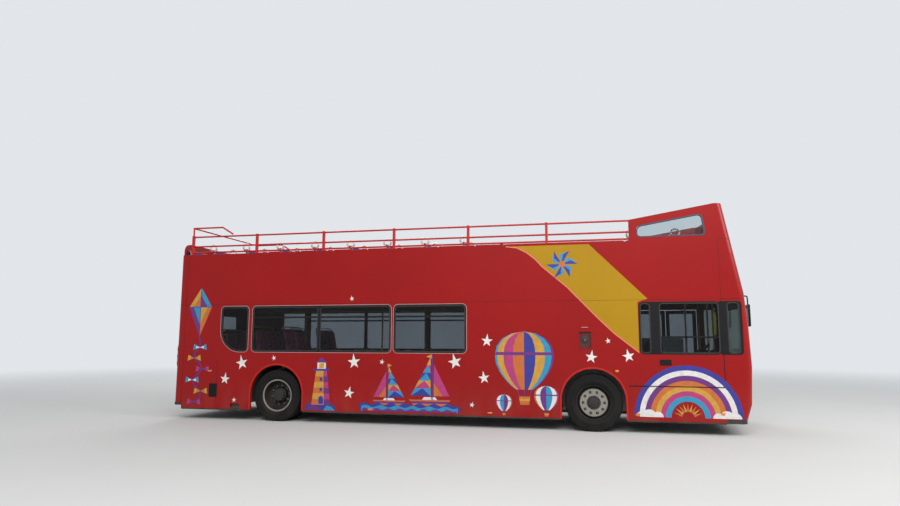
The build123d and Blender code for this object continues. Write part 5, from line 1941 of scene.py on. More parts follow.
def piping(half_x, half_y, place):
    """Seam cord round a flat rounded rectangle in the plane of a pad."""
    corners = []
    for index in range(24):
        angle = math.tau * index / 24
        x = math.copysign(abs(math.cos(angle)) ** 0.5, math.cos(angle)) * half_x
        y = math.copysign(abs(math.sin(angle)) ** 0.5, math.sin(angle)) * half_y
        corners.append(place @ Vector((x, y, 0)))
    return tube_along([*corners, corners[0]], 0.004, 5)


def upright_seam(pad_place, ahead):
    """Place of the seam on the face of a back pad."""
    return pad_place @ at(ahead, 0, 0) @ rotation(90, "Y")


def saloon_seat_parts(plinth):
    """Cushions, backs, piping, shells and leg of one double seat on its plinth."""
    cushions, backs, cords, shells = bmesh.new(), bmesh.new(), bmesh.new(), bmesh.new()
    lean = Matrix.Rotation(-back_lean, 4, "Y")
    for across in (-0.217, 0.217):
        low = at(0.222, across, plinth + 0.046)
        gather(cushions, mesh_part(pads["cushion"], low))
        cord_at = at(0.222, across, plinth + 0.064)
        gather(cords, piping(0.196, 0.203, cord_at))
        high = at(-0.022, across, plinth + 0.310) @ lean
        gather(backs, mesh_part(pads["back"], high))
        gather(cords, piping(0.222, 0.203, upright_seam(high, 0.016)))
    add_box(shells, (0.005, 0.418), (-0.438, 0.438), (plinth - 0.004, plinth + 0.016), 0.006)
    rear_plate = box_shape((-0.008, 0.006), (-0.438, 0.438), (-0.255, 0.265), 0.006)
    tilt_back = at(-0.048, 0, plinth + 0.285) @ lean
    transform(rear_plate, tilt_back)
    gather(shells, rear_plate)
    for across in (-0.13, 0.13):
        for x in ((0.110, 0.150), (0.270, 0.310)):
            add_box(shells, x, about(across, 0.020), (0, plinth), 0.004, 1)
    rail = [
        (-0.090, -0.40, plinth + 0.50), (-0.112, -0.38, plinth + 0.572),
        (-0.116, 0.0, plinth + 0.584), (-0.112, 0.38, plinth + 0.572),
        (-0.090, 0.40, plinth + 0.50),
    ]
    return {
        "cushions": cushions,
        "backs": backs,
        "piping": cords,
        "shells": shells,
        "handles": tube_along(rounded_path(rail, 4), 0.012, 6),
    }


saloon_floor = 0.330
rear_saloon_floor = 0.720
box_top = 1.060
floor_places = [
    (-2.100 + row_pitch * row, side * seat_y, saloon_floor)
    for side, rows in ((1, 6), (-1, 3))
    for row in range(rows)
]
rear_places = [(-4.290, side * seat_y, rear_saloon_floor) for side in (1, -1)]
box_places = [(x, side * 0.769, box_top) for side in (1, -1) for x in (-3.616, -2.996)]
places_of_plinth = {0.400: floor_places + rear_places, 0.120: box_places}
saloon_finish = {
    "cushions": seat_cloth, "backs": seat_cloth, "piping": seat_edge, "shells": dash_plastic,
    "handles": grab_yellow,
}
saloon_wholes = {name: bmesh.new() for name in saloon_finish}
for plinth, spots in places_of_plinth.items():
    for name, part in saloon_seat_parts(plinth).items():
        for spot in spots:
            gather(saloon_wholes[name], part, Matrix.Translation(spot), keep=True)
        part.free()
for name, whole in saloon_wholes.items():
    piece = finish_piece(
        f"saloon_seat_{name}", whole, saloon_finish[name], smooth_angle=50
    )
    if name == "shells":
        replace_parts(piece, "lower_seats")

# %% [markdown]
# The benches across the rear.
# The upper bench is one long moulded shell like the other deck seats. The lower one carries five
# pads side by side, made from the same pads as the seats.

# %% Rear benches
bench_half = 1.150
bench_y = (-bench_half, bench_half)
upper_bench_x = rear_x + 0.050 + 0.080
bench_places = 5
upper_bench = shell_part(bench_half, bench_places)
slide(upper_bench, (upper_bench_x + 0.04, 0, deck_z))
piece = finish_piece(
    "upper_bench_shell", upper_bench, seat_shell, smooth_angle=50
)
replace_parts(piece, "rear_benches")
edge = bmesh.new()
for x, z, radius in ((-0.050, 0.950, 0.010), (0.457, 0.448, 0.009)):
    ends = [(upper_bench_x + x, y, deck_z + z) for y in bench_y]
    add_tube(edge, ends, radius, 8)
finish_piece("upper_bench_edge", edge, seat_edge, smooth_angle=50)
bench_frame = bmesh.new()
for across in (-1.05, -0.53, 0, 0.53, 1.05):
    for x in (0.12, 0.34):
        foot_x = upper_bench_x + x
        foot_places = (about(foot_x, 0.014), about(across, 0.014), (deck_z, deck_z + 0.430))
        gather(bench_frame, box_shape(*foot_places, 0.003, 1))
add_box(
    bench_frame, (upper_bench_x + 0.08, upper_bench_x + 0.40), bench_y,
    (deck_z + 0.405, deck_z + 0.425), 0.004, 1,
)
add_box(
    bench_frame, (rear_x + 0.052, upper_bench_x - 0.055), bench_y,
    (deck_z + 0.840, deck_z + 0.930), 0.006, 2,
)
finish_piece("upper_bench_frame", bench_frame, chassis_black)

lower_bench_x = rear_x + 0.450
engine_deck_z = 1.190
cushions, backs, cords = bmesh.new(), bmesh.new(), bmesh.new()
for index in range(bench_places):
    across = (index - 2) * 0.455
    low = at(lower_bench_x + 0.215, across, engine_deck_z + 0.062)
    stretch = Matrix.Diagonal((1.03, 1.04, 1.0, 1))
    gather(cushions, mesh_part(pads["cushion"], low @ stretch))
    gather(cords, piping(0.205, 0.212, low @ at(0, 0, 0.022)))
    high = at(lower_bench_x - 0.030, across, engine_deck_z + 0.310)
    gather(backs, mesh_part(pads["back"], high @ stretch))
    gather(cords, piping(0.222, 0.212, upright_seam(high, 0.018)))
for name, whole in (("lower_bench_cushions", cushions), ("lower_bench_backs", backs)):
    finish_piece(name, whole, seat_cloth, smooth_angle=50)
finish_piece("lower_bench_piping", cords, seat_edge, smooth_angle=50)
base = box_shape(
    (lower_bench_x, lower_bench_x + 0.425), bench_y, (engine_deck_z, engine_deck_z + 0.030), 0.006
)
add_box(
    base, (lower_bench_x - 0.080, lower_bench_x - 0.058), bench_y,
    (engine_deck_z, engine_deck_z + 0.550), 0.006,
)
finish_piece("lower_bench_base", base, dash_plastic)

# %% [markdown]
# The driver's seat.
# It stands on a sprung pedestal with a rubber bellows. It is larger than the others and has a
# head rest and a piped cover.

# %% Driver's seat
driver_x = nose_x - 1.500
driver_y = -0.720
podium_z = 0.600
driver_lean = math.atan2(0.110, 0.650)
low = at(driver_x + 0.255, driver_y, podium_z + 0.446)
high = at(driver_x + 0.018, driver_y, podium_z + 0.800) @ Matrix.Rotation(-driver_lean, 4, "Y")
for name, place in (("driver_cushion", low), ("driver_back", high)):
    pad = mesh_part(pads[name], place)
    finish_piece(name, pad, dark_cloth, smooth_angle=50)
cords = piping(0.215, 0.222, low @ at(0, 0, 0.030))
gather(cords, piping(0.290, 0.215, upright_seam(high, 0.030)))
finish_piece("driver_piping", cords, dash_plastic, smooth_angle=50)
pedestal = box_shape(
    (driver_x + 0.10, driver_x + 0.40), about(driver_y, 0.16), (podium_z, podium_z + 0.050), 0.010
)
for index in range(7):
    z = podium_z + 0.055 + index * 0.042
    inset = 0.012 if index % 2 else 0.0
    fold = (about(driver_x + 0.25, 0.13 - inset), about(driver_y, 0.14 - inset), (z, z + 0.040))
    gather(pedestal, box_shape(*fold, 0.012, 2))
add_box(
    pedestal,
    (driver_x + 0.03, driver_x + 0.46),
    about(driver_y, 0.225),
    (podium_z + 0.350, podium_z + 0.402),
    0.015,
    3,
)
piece = finish_piece("driver_pedestal", pedestal, dash_plastic, smooth_angle=40)
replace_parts(piece, "driver_seat")

# %% [markdown]
# Trim that wraps round the front and the rear.
# The nose is a shallow bow with round corners, so one row of points gives its outline at any
# height. Such rows are bridged into a closed strip. The same helper makes the black lip below
# the nose, the joint lines between the panels and the rub strip at the rear.

# %% Wrapped trim
rear_corner = 0.080
arc_steps = 6
bow_steps = 24


def front_outline(z, out, back_x):
    """Row of points round the nose at one height, from the offside to the nearside."""
    corner_y = side_y - corner_radius
    reach = math.sqrt((bow_radius - corner_radius) ** 2 - corner_y**2)
    meet = math.atan2(corner_y, reach)
    bow_x = nose_x - setback(z) - bow_radius
    bow, radius = bow_radius + out, corner_radius + out
    row = [(back_x, -side_y - out, z)]
    for step in range(arc_steps + 1):
        angle = math.pi / 2 + (meet - math.pi / 2) * step / arc_steps
        x = bow_x + reach + radius * math.cos(angle)
        row.append((x, -corner_y - radius * math.sin(angle), z))
    corner = row[::-1]
    for step in range(1, bow_steps):
        angle = meet * (2 * step / bow_steps - 1)
        row.append((bow_x + bow * math.cos(angle), bow * math.sin(angle), z))
    return row + [(x, -y, z) for x, y, z in corner]


def rear_outline(z, out, front_x):
    """Row of points round the rear at one height, from the offside to the nearside."""
    radius = rear_corner + out
    row = [(front_x, -side_y - out, z)]
    for step in range(arc_steps + 1):
        angle = math.pi / 2 * step / arc_steps
        x = rear_x + rear_corner - radius * math.sin(angle)
        row.append((x, rear_corner - side_y - radius * math.cos(angle), z))
    return row + [(x, -y, z) for x, y, z in row[::-1]]


def wrapped(outline, heights, out, thickness, end_x):
    """Closed strip of one thickness that follows an outline through a few heights."""
    outer = [outline(z, out + thickness, end_x) for z in heights]
    inner = [outline(z, out, end_x) for z in heights[::-1]]
    part = bridged([*outer, *inner, outer[0]])
    bmesh.ops.remove_doubles(part, verts=part.verts, dist=1e-6)
    bmesh.ops.holes_fill(part, edges=part.edges[:])
    return part


lip = wrapped(front_outline, (0.196, 0.208, 0.268), -0.030, 0.024, 4.500)
finish_piece("front_lip", lip, rubber, smooth_angle=40)
joints = bmesh.new()
for z in (split_z, waist_z):
    gather(joints, wrapped(front_outline, about(z, 0.003), 0.0004, 0.0006, front_seam_x))
gather(joints, wrapped(rear_outline, about(split_z, 0.003), 0.0004, 0.0006, rear_seam_x))
finish_piece("wrapped_joints", joints, black_trim, smooth_angle=40)
rub = wrapped(rear_outline, (0.262, 0.270, 0.300, 0.308), 0.0004, 0.010, rear_seam_x)
finish_piece("rear_rub_strip", rub, rubber, smooth_angle=40)
flap_lines = bmesh.new()
for side, label in sides():
    low_x, high_x = (3.300, 4.800) if side < 0 else (3.300, 3.540)
    flap_top = [(low_x, flap_z), (high_x, flap_z)]
    gather(flap_lines, strip_along(flap_top, 0.014, side, 0.0056, 0.0004))
    upright = [(front_seam_x, 0.270), (front_seam_x, sill_z - 0.022)]
    gather(flap_lines, strip_along(upright, 0.012, side, 0.0012, 0.0004))
finish_piece("flap_lines", flap_lines, black_trim)

# %% [markdown]
# The nose.
# Plates laid on the bow carry the grille, the blank number plate and the wipers. A headlamp is a
# dark tray with two reflector bowls and a bulb in each, behind a thin clear cover.

# %% Nose fittings


def front_plate(y, z, radius, lift, thickness):
    """Rounded plate laid on the front between two places across it."""
    part = front_face((y[1] - y[0]) / 2, z, radius)
    slide(part, (0, (y[0] + y[1]) / 2, 0))
    lay_on_front(slice_across(part, 0.12), lift)
    return push_out(part, (thickness, 0, 0))


def facing(profile, place, ahead=True, steps=32):
    """Shape turned about a line along the bus, facing ahead or astern."""
    part = turned(profile, origin, 1, steps)
    turn = rotation(-90 if ahead else 90, "Z")
    transform(part, Matrix.Translation(place) @ turn)
    return part


grille = front_plate((-0.620, 0.620), (0.600, 0.740), 0.030, 0.0005, 0.003)
for index in range(5):
    z = 0.616 + index * 0.023
    gather(grille, front_plate((-0.600, 0.600), (z, z + 0.010), 0.002, 0.0035, 0.008))
finish_piece("nose_grille", grille, black_trim)
holder = front_plate((-0.275, 0.275), (0.402, 0.532), 0.012, 0.0005, 0.006)
finish_piece("front_plate_holder", holder, black_trim)
plate = front_plate((-0.260, 0.260), (0.412, 0.523), 0.010, 0.0065, 0.002)
finish_piece("front_number_plate", plate, white_vinyl)

bowl_profile = [
    (0.0, 0.0), (0.0, 0.068), (0.030, 0.068), (0.030, 0.062), (0.018, 0.054), (0.008, 0.036),
    (0.004, 0.0),
]
bulb_profile = [(0.004, 0.0), (0.004, 0.014), (0.018, 0.013), (0.025, 0.007), (0.027, 0.0)]
lamp_z = (0.566, 0.754)
bowl_z = 0.672
bowls_y = (0.842, 0.988)
trays, bowls, bulbs, covers, blinkers = (bmesh.new() for index in range(5))
for side, label in sides():
    low, high = outboard(side, 0.766, 1.074)
    gather(trays, front_plate((low, high), lamp_z, 0.010, -0.046, 0.006))
    tray_rim = border_of(front_face(0.154, lamp_z, 0.020), 0.008)
    slide(tray_rim, (0, side * 0.920, 0))
    gather(trays, push_out(lay_on_front(slice_across(tray_rim, 0.12), -0.042), (0.036, 0, 0)))
    for y in bowls_y:
        place = (front_surface(y, bowl_z) - 0.041, side * y, bowl_z)
        gather(bowls, facing(bowl_profile, place))
        gather(bulbs, facing(bulb_profile, place, steps=16))
    blinker_y = (low + 0.020, high - 0.020)
    gather(blinkers, front_plate(blinker_y, (0.574, 0.596), 0.006, -0.036, 0.020))
    gather(covers, front_plate((low, high), lamp_z, 0.020, -0.005, 0.005))
cover = finish_piece("headlamp_covers", covers, lamp_lens, smooth_angle=40)
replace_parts(cover, "headlamps")
finish_piece("headlamp_trays", trays, dash_plastic)
finish_piece("headlamp_bowls", bowls, mirror_glass, smooth_angle=50)
finish_piece("headlamp_bulbs", bulbs, white_vinyl, smooth_angle=60)
finish_piece("front_blinkers", blinkers, amber_lens)


def on_glass(side, y, z, lift):
    """Place a little ahead of the windscreen."""
    return (front_surface(y, z) + lift, side * y, z)


wipers = bmesh.new()
spindle_profile = [(0.0, 0.0), (0.0, 0.024), (0.022, 0.020), (0.030, 0.0)]
arm_path = ((0.160, 1.090, 0.022), (0.380, 1.120, 0.034), (0.620, 1.165, 0.022))
blade_path = [(0.200 + 0.080 * step, 1.150 + 0.005 * step, 0.012) for step in range(10)]
for side in (-1, 1):
    gather(wipers, facing(spindle_profile, on_glass(side, 0.160, 1.090, 0.0), steps=16))
    arm = [on_glass(side, *spot) for spot in arm_path]
    add_tube(wipers, rounded_path(arm, 4), 0.007, 6)
    blade = [on_glass(side, *spot) for spot in blade_path]
    add_tube(wipers, blade, 0.009, 6)
finish_piece("wipers", wipers, black_trim, smooth_angle=50)

# %% [markdown]
# Mirrors.
# Each hangs from a bent tube over the windscreen. The head is a soft-edged shell, and its glass
# sits in the face that looks back along the bus.

# %% Mirrors
mirror_y = 0.810
mirror_x = nose_x - 0.045
heads, mirror_faces = bmesh.new(), bmesh.new()
for side, label in sides():
    y = side * mirror_y
    add_box(heads, (mirror_x + 0.004, mirror_x + 0.040), about(y, 0.108), (1.754, 2.126), 0.017, 4)
    arm = [
        (mirror_x + 0.022, y, 2.100),
        (mirror_x + 0.022, y, 2.220),
        (mirror_x + 0.014, y, 2.262),
        (mirror_x - 0.020, y, 2.270),
        (front_surface(mirror_y, 2.270) + 0.002, y, 2.270),
    ]
    add_tube(heads, rounded_path(arm, 4), 0.011, 8)
    foot = [(0.0, 0.0), (0.0, 0.030), (0.006, 0.030), (0.010, 0.014), (0.010, 0.0)]
    gather(heads, facing(foot, (front_surface(mirror_y, 2.270), y, 2.270), steps=20))
    for z in ((1.770, 1.880), (1.890, 2.110)):
        add_box(mirror_faces, (mirror_x + 0.001, mirror_x + 0.006), about(y, 0.094), z, 0.002, 2)
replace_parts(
    finish_piece("mirror_heads", heads, black_trim, smooth_angle=50),
    "mirrors",
)
finish_piece("mirror_faces", mirror_faces, mirror_glass)

# %% [markdown]
# The rear.
# A rubber ring holds the rear window. Round lamps sit in a dark plate on each side. The engine
# door has slanted louvre blades in its slots and two latches, which all move with the door.

# %% Rear fittings
ring = border_of(front_face(0.860, (1.450, 2.050), 0.060), 0.022)
slide(ring, (rear_x + 0.014, 0, 0))
ring = push_out(ring, (-0.017, 0, 0))
finish_piece("rear_window_rubber", ring, rubber, smooth_angle=40)
lamp_profile = [
    (0.0, 0.0), (0.0, 0.056), (0.004, 0.056), (0.009, 0.046), (0.0115, 0.025), (0.012, 0.0)
]
rim_profile = [(0.0, 0.055), (0.0, 0.064), (0.007, 0.064), (0.007, 0.055), (0.0, 0.055)]
tail_lamp_y = 1.150
lamp_rows = ((1.068, red_lens), (1.200, amber_lens), (1.332, red_lens))
plates = bmesh.new()
for side, label in sides():
    y = side * tail_lamp_y
    add_box(plates, (rear_x - 0.004, rear_x), about(y, 0.065), (1.0, 1.4), 0.0015, 1)
    for z, colour in lamp_rows:
        gather(plates, facing(rim_profile, (rear_x - 0.003, y, z), ahead=False))
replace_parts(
    finish_piece("tail_lamp_plates", plates, black_trim, smooth_angle=40),
    "tail_lamps",
)
for name, material in (("tail_lamp_reds", red_lens), ("tail_lamp_ambers", amber_lens)):
    lamps = bmesh.new()
    for z, colour in lamp_rows:
        if colour == material:
            for y in (-tail_lamp_y, tail_lamp_y):
                gather(lamps, facing(lamp_profile, (rear_x - 0.003, y, z), ahead=False))
    finish_piece(name, lamps, material, smooth_angle=50)
reflectors = bmesh.new()
for y in (-1.060, 1.060):
    add_box(reflectors, (rear_x - 0.008, rear_x + 0.001), about(y, 0.045), (0.520, 0.570), 0.003)
finish_piece("rear_reflectors", reflectors, red_lens)
high_lamps = bmesh.new()
for y in (-1.000, 0.0, 1.000):
    add_box(high_lamps, (rear_x - 0.010, rear_x + 0.001), about(y, 0.060), (2.960, 2.990), 0.004)
finish_piece("high_tail_lamps", high_lamps, red_lens)
plate_z = (1.225, 1.336)
holder_z = (plate_z[0] - 0.010, plate_z[1] + 0.010)
holder = box_shape((rear_x - 0.006, rear_x + 0.001), (-0.275, 0.275), holder_z, 0.002)
plate_lamp_z = (plate_z[1] + 0.012, plate_z[1] + 0.034)
add_box(holder, (rear_x - 0.026, rear_x), (-0.120, 0.120), plate_lamp_z, 0.005)
finish_piece("rear_plate_holder", holder, black_trim)
plate = box_shape((rear_x - 0.009, rear_x - 0.006), (-0.260, 0.260), plate_z, 0.001, 1)
finish_piece("rear_number_plate", plate, grab_yellow)

door_outer_x = rear_x + 0.012
louvre_first_z = 0.530
blades = bmesh.new()
for index in range(9):
    blade = box_shape((-0.017, 0.017), (-0.648, 0.648), (-0.0012, 0.0012), 0.0008, 1)
    place = at(door_outer_x + 0.015, 0, louvre_first_z + index * 0.064)
    gather(blades, blade, place @ rotation(-32, "Y"))
finish_piece("louvre_blades", blades, black_trim, body="engine_door")
latches = bmesh.new()
for y in (-0.760, 0.760):
    recess_x = (door_outer_x - 0.0015, door_outer_x + 0.001)
    add_box(latches, recess_x, about(y, 0.050), (0.470, 0.530), 0.0007, 1)
    add_box(latches, (door_outer_x - 0.008, door_outer_x), about(y, 0.034), (0.486, 0.514), 0.003)
finish_piece("door_latches", latches, bare_steel, body="engine_door")

# %% [markdown]
# The engine bay.
# The open rear door shows the engine, which stands across the bus. Its block is one of the
# solids. The pipes of its exhaust and its fuel are swept along smooth paths, one set for each
# cylinder.

# %% Engine pipes
engine_back = rear_x + 0.175
pipe_x = engine_back - 0.055
manifold_z = 0.985
manifold = round_bar((pipe_x, -0.335, manifold_z), (pipe_x, 0.335, manifold_z), 0.030, 20)
fuel_pipes = bmesh.new()
for index in range(6):
    y = -0.300 + 0.120 * index
    bend = [
        (engine_back + 0.010, y, 0.895), (engine_back - 0.028, y, 0.898), (pipe_x, y, 0.930),
        (pipe_x, y, manifold_z),
    ]
    add_tube(manifold, rounded_path(bend), 0.021, 14)
    flange_x = (engine_back - 0.010, engine_back + 0.001)
    add_box(manifold, flange_x, about(y, 0.042), (0.862, 0.932), 0.004)
    start_y = 0.090 + 0.036 * index
    fuel = [
        (engine_back - 0.030, start_y, 0.660),
        (engine_back - 0.020, start_y, 0.700),
        (engine_back - 0.014, (y + start_y) / 2, 0.790),
        (engine_back - 0.014, y + 0.055, 0.850),
        (engine_back + 0.004, y + 0.055, 0.880),
    ]
    add_tube(fuel_pipes, rounded_path(fuel), 0.004, 8)
finish_piece("exhaust_manifold", manifold, cast_iron, smooth_angle=40)
finish_piece("fuel_pipes", fuel_pipes, bare_steel, smooth_angle=60)

# %% [markdown]
# Turned parts of the engine.
# The turbocharger, the alternator, the starter and the filters are each one profile turned
# about an axle. Three rounded blocks give the castings that carry them.

# %% Engine castings and filters
turbo_profile = [
    (0.0, 0.0), (0.0, 0.038), (0.010, 0.050), (0.028, 0.056), (0.046, 0.050), (0.054, 0.030),
    (0.072, 0.030), (0.078, 0.046), (0.092, 0.054), (0.106, 0.048), (0.114, 0.034), (0.132, 0.034),
    (0.132, 0.0),
]
alternator_profile = [
    (0.0, 0.0), (0.0, 0.030), (0.004, 0.046), (0.010, 0.038), (0.016, 0.046), (0.020, 0.046),
    (0.022, 0.030), (0.034, 0.030), (0.036, 0.066), (0.046, 0.072), (0.078, 0.072), (0.080, 0.068),
    (0.092, 0.068), (0.094, 0.072), (0.130, 0.072), (0.142, 0.060), (0.146, 0.0),
]
starter_profile = [
    (0.0, 0.0), (0.0, 0.032), (0.020, 0.034), (0.024, 0.046), (0.170, 0.046), (0.174, 0.042),
    (0.186, 0.042), (0.196, 0.030), (0.198, 0.0),
]
metal_parts = turned(turbo_profile, (pipe_x, -0.330, 0.955), -1, 40)
gather(metal_parts, turned(alternator_profile, (engine_back + 0.075, 0.392, 0.900), 1, 40))
gather(metal_parts, turned(starter_profile, (engine_back - 0.056, 0.080, 0.440), 1, 40))
solenoid = [(engine_back - 0.052, y, 0.508) for y in (0.110, 0.230)]
gather(metal_parts, round_bar(*solenoid, 0.024, 20))
castings = (
    ((engine_back - 0.058, engine_back + 0.001), (0.070, 0.300), (0.600, 0.665), 0.010),
    ((engine_back - 0.100, engine_back + 0.001), (-0.290, -0.060), (0.615, 0.650), 0.010),
    ((engine_back + 0.040, engine_back + 0.420), (-0.270, 0.270), (1.099, 1.140), 0.014, 3),
)
for casting in castings:
    gather(metal_parts, box_shape(*casting))
finish_piece("engine_castings", metal_parts, bare_steel, smooth_angle=35)

can_profile = [
    (0.0, 0.0), (0.0, 0.038), (0.006, 0.046), (0.140, 0.046), (0.152, 0.040), (0.156, 0.026),
    (0.156, 0.0),
]
drum_profile = [
    (0.0, 0.0), (0.0, 0.104), (0.012, 0.118), (0.070, 0.118), (0.074, 0.124), (0.088, 0.124),
    (0.092, 0.118), (0.250, 0.118), (0.254, 0.124), (0.268, 0.124), (0.272, 0.118), (0.310, 0.104),
    (0.310, 0.0),
]
hang = rotation(-90, "X")
filters = turned(drum_profile, (engine_back + 0.110, -0.520, 0.930), -1, 48)
for y in (-0.235, -0.115):
    can_place = at(engine_back - 0.056, y, 0.616) @ hang
    gather(filters, turned(can_profile, origin, 1, 32), can_place)
finish_piece("engine_filters", filters, black_trim, smooth_angle=35)

# %% [markdown]
# Cooling.
# Hoses are swept pipes again, only thicker. The cooler at the side is a frame with thin plates
# and a round shroud, and the tank beside it is pale plastic.

# %% Engine hoses and cooler
hose_paths = (
    (0.034, ((-0.055, -0.455, 0.955), (-0.035, -0.490, 0.955), (0.09, -0.530, 0.940))),
    (0.026, ((0.04, 0.340, 0.830), (0.02, 0.480, 0.800), (0.10, 0.600, 0.820))),
    (0.014, ((0.06, 0.560, 0.935), (0.05, 0.520, 0.870), (0.02, 0.420, 0.830))),
    (0.010, ((-0.03, -0.290, 0.632), (-0.03, -0.340, 0.600), (-0.01, -0.350, 0.480))),
)
hoses = bmesh.new()
for radius, path in hose_paths:
    bend = [(engine_back + x, y, z) for x, y, z in path]
    add_tube(hoses, rounded_path(bend, 6), radius, 16)
finish_piece("engine_hoses", hoses, rubber, smooth_angle=50)

cooler_y = (0.650, 0.730)
cooler_x = (engine_back + 0.030, engine_back + 0.530)
cooler = bmesh.new()
for x in cooler_x:
    add_box(cooler, about(x, 0.022), cooler_y, (0.420, 1.080), 0.006)
for z in (0.440, 1.060):
    add_box(cooler, cooler_x, (cooler_y[0] - 0.010, cooler_y[1] + 0.010), about(z, 0.032), 0.010)
for index in range(38):
    z = 0.478 + index * 0.0148
    add_box(cooler, cooler_x, (cooler_y[0] + 0.010, cooler_y[1] - 0.010), about(z, 0.0020))
shroud = [(0.0, 0.190), (0.0, 0.240), (0.050, 0.222), (0.050, 0.206), (0.0, 0.190)]
gather(cooler, turned(shroud, (sum(cooler_x) / 2, cooler_y[0] - 0.002, 0.750), -1, 48))
finish_piece("engine_cooler", cooler, black_trim, smooth_angle=35)
tank = box_shape(
    (engine_back - 0.010, engine_back + 0.130), (0.500, 0.620), (0.930, 1.070), 0.020, 3
)
tank_cap = [(engine_back + 0.060, 0.560, z) for z in (1.065, 1.092)]
gather(tank, round_bar(*tank_cap, 0.026, 20))
finish_piece("header_tank", tank, handle_white, smooth_angle=35)
print("engine bay fittings reach back to", round(engine_back - 0.105, 3), "m")

# %% [markdown]
# The entrance.
# Each glass leaf gets a rubber ring on its outer face, and a small push pad. They ride with
# their leaf, so they fold away with it.

# %% Door trim
leaf_y = 1.247
for name, glass_x in (("rear", (3.630, 4.095)), ("front", (4.225, 4.690))):
    corners = box_corners(glass_x, (0.480, 2.060), 0.010)
    ring = side_ring(corners, leaf_y - 0.010, (0.030,) * 4, 0.022, 0.0115)
    body = f"door_leaf_{name}"
    finish_piece(
        f"door_rubber_{name}", ring, rubber, body=body, smooth_angle=40
    )
    pad_x = (glass_x[1] + 0.012, glass_x[1] + 0.046)
    if name == "front":
        pad_x = (glass_x[0] - 0.046, glass_x[0] - 0.012)
    pad = box_shape(pad_x, (leaf_y - 0.001, leaf_y + 0.002), (1.060, 1.240), 0.0010)
    finish_piece(f"door_pad_{name}", pad, grab_yellow, body=body)

# %% [markdown]
# Inside the lower deck.
# Long ceiling lights, pale wall linings, yellow poles and rails, and bright step edges are what
# one makes out through the windows. The poles keep clear of the swing of the cab door.

# %% Saloon interior
lights = bmesh.new()
for side in (-1, 1):
    for low_x, high_x in ((-4.200, -1.900), (-1.800, 0.500), (0.600, 3.300)):
        y = outboard(side, 0.400, 0.510)
        add_box(lights, (low_x, high_x), y, (ceiling_z - 0.030, ceiling_z), 0.012, 3)
finish_piece("ceiling_lights", lights, white_vinyl, smooth_angle=50)
linings = bmesh.new()
for side, label in sides():
    y = outboard(side, inner_y - 0.001, inner_y - 0.006)
    for x, z in (
        ((-5.150, -3.760), (1.195, 1.285)),
        ((-3.740, 3.400), (1.065, 1.285)),
        ((-2.290, 2.100), (0.335, 1.060)),
        ((-5.150, 3.400), (2.170, 2.295)),
    ):
        add_box(linings, x, y, z, 0.002, 1)
finish_piece("wall_linings", linings, wall_lining)
rail_z = 2.090
rails = bmesh.new()
for x, y, foot in (
    (-3.300, 0.270, 0.720), (-1.380, -0.270, 0.330), (-0.640, 0.270, 0.330), (0.840, 0.270, 0.330),
    (2.320, 0.270, 0.330),
):
    add_tube(rails, [(x, y, foot), (x, y, ceiling_z)], 0.016, 12)
    add_tube(rails, [(x, y, foot), (x, y, foot + 0.012)], 0.040, 16)
    add_tube(rails, [(x, y, ceiling_z - 0.012), (x, y, ceiling_z)], 0.040, 16)
for y in (-0.330, 0.330):
    ends = [
        (-4.300, y, ceiling_z), (-4.280, y, rail_z + 0.030), (-4.180, y, rail_z),
        (3.150, y, rail_z), (3.250, y, rail_z + 0.030), (3.270, y, ceiling_z),
    ]
    add_tube(rails, ends, 0.014, 10)
stand_x, stand_y = 4.740, -0.215
add_tube(rails, [(stand_x, stand_y, 1.120), (stand_x, stand_y, ceiling_z)], 0.017, 12)
grip_x, grip_y = 4.700, -1.158
grip = [
    (grip_x, -1.212, 1.560), (grip_x, grip_y, 1.575), (grip_x, grip_y, 2.025),
    (grip_x, -1.212, 2.040),
]
add_tube(rails, grip, 0.012, 10)
finish_piece("grab_rails", rails, grab_yellow, smooth_angle=40)
sleeve_profile = [
    (-0.190, 0.0), (-0.190, 0.026), (-0.176, 0.038), (0.176, 0.038), (0.190, 0.026), (0.190, 0.0)
]
sleeve = turned(sleeve_profile, origin, 1, 24)
bmesh.ops.rotate(sleeve, matrix=Matrix.Rotation(math.radians(90), 3, "X"), verts=sleeve.verts)
slide(sleeve, (grip_x, grip_y, 1.800))
finish_piece("cab_grip_sleeve", sleeve, sun_yellow, smooth_angle=50)

stair_foot_x, stair_head_x = 0.600, 2.715
stair_y = (-1.195, -0.565)
riser_count = 9
going = (stair_head_x - stair_foot_x) / riser_count
rise = (deck_z - saloon_floor) / riser_count
nosings = bmesh.new()
for index in range(riser_count):
    x = stair_foot_x + index * going
    z = saloon_floor + (index + 1) * rise
    add_box(nosings, (x - 0.004, x + 0.034), stair_y, (z - 0.030, z + 0.003), 0.0015, 1)
top_z = (saloon_floor + 0.350, saloon_floor + 0.393)
add_box(nosings, (-2.304, -2.262), (-0.290, 0.290), top_z, 0.0015, 1)
finish_piece("step_nosings", nosings, grab_yellow)
ribs = bmesh.new()
for index in range(9):
    y = -0.200 + index * 0.050
    add_box(ribs, (-4.700, 4.900), about(y, 0.008), (deck_z - 0.001, deck_z + 0.003), 0.001, 1)
finish_piece("aisle_ribs", ribs, rubber)

# %% [markdown]
# The driver's place.
# The wheel is a thin ring on three spokes with a soft hub. It turns with its column. The dials
# sit under a cowl on the dashboard, beside switches and a plain ticket machine.

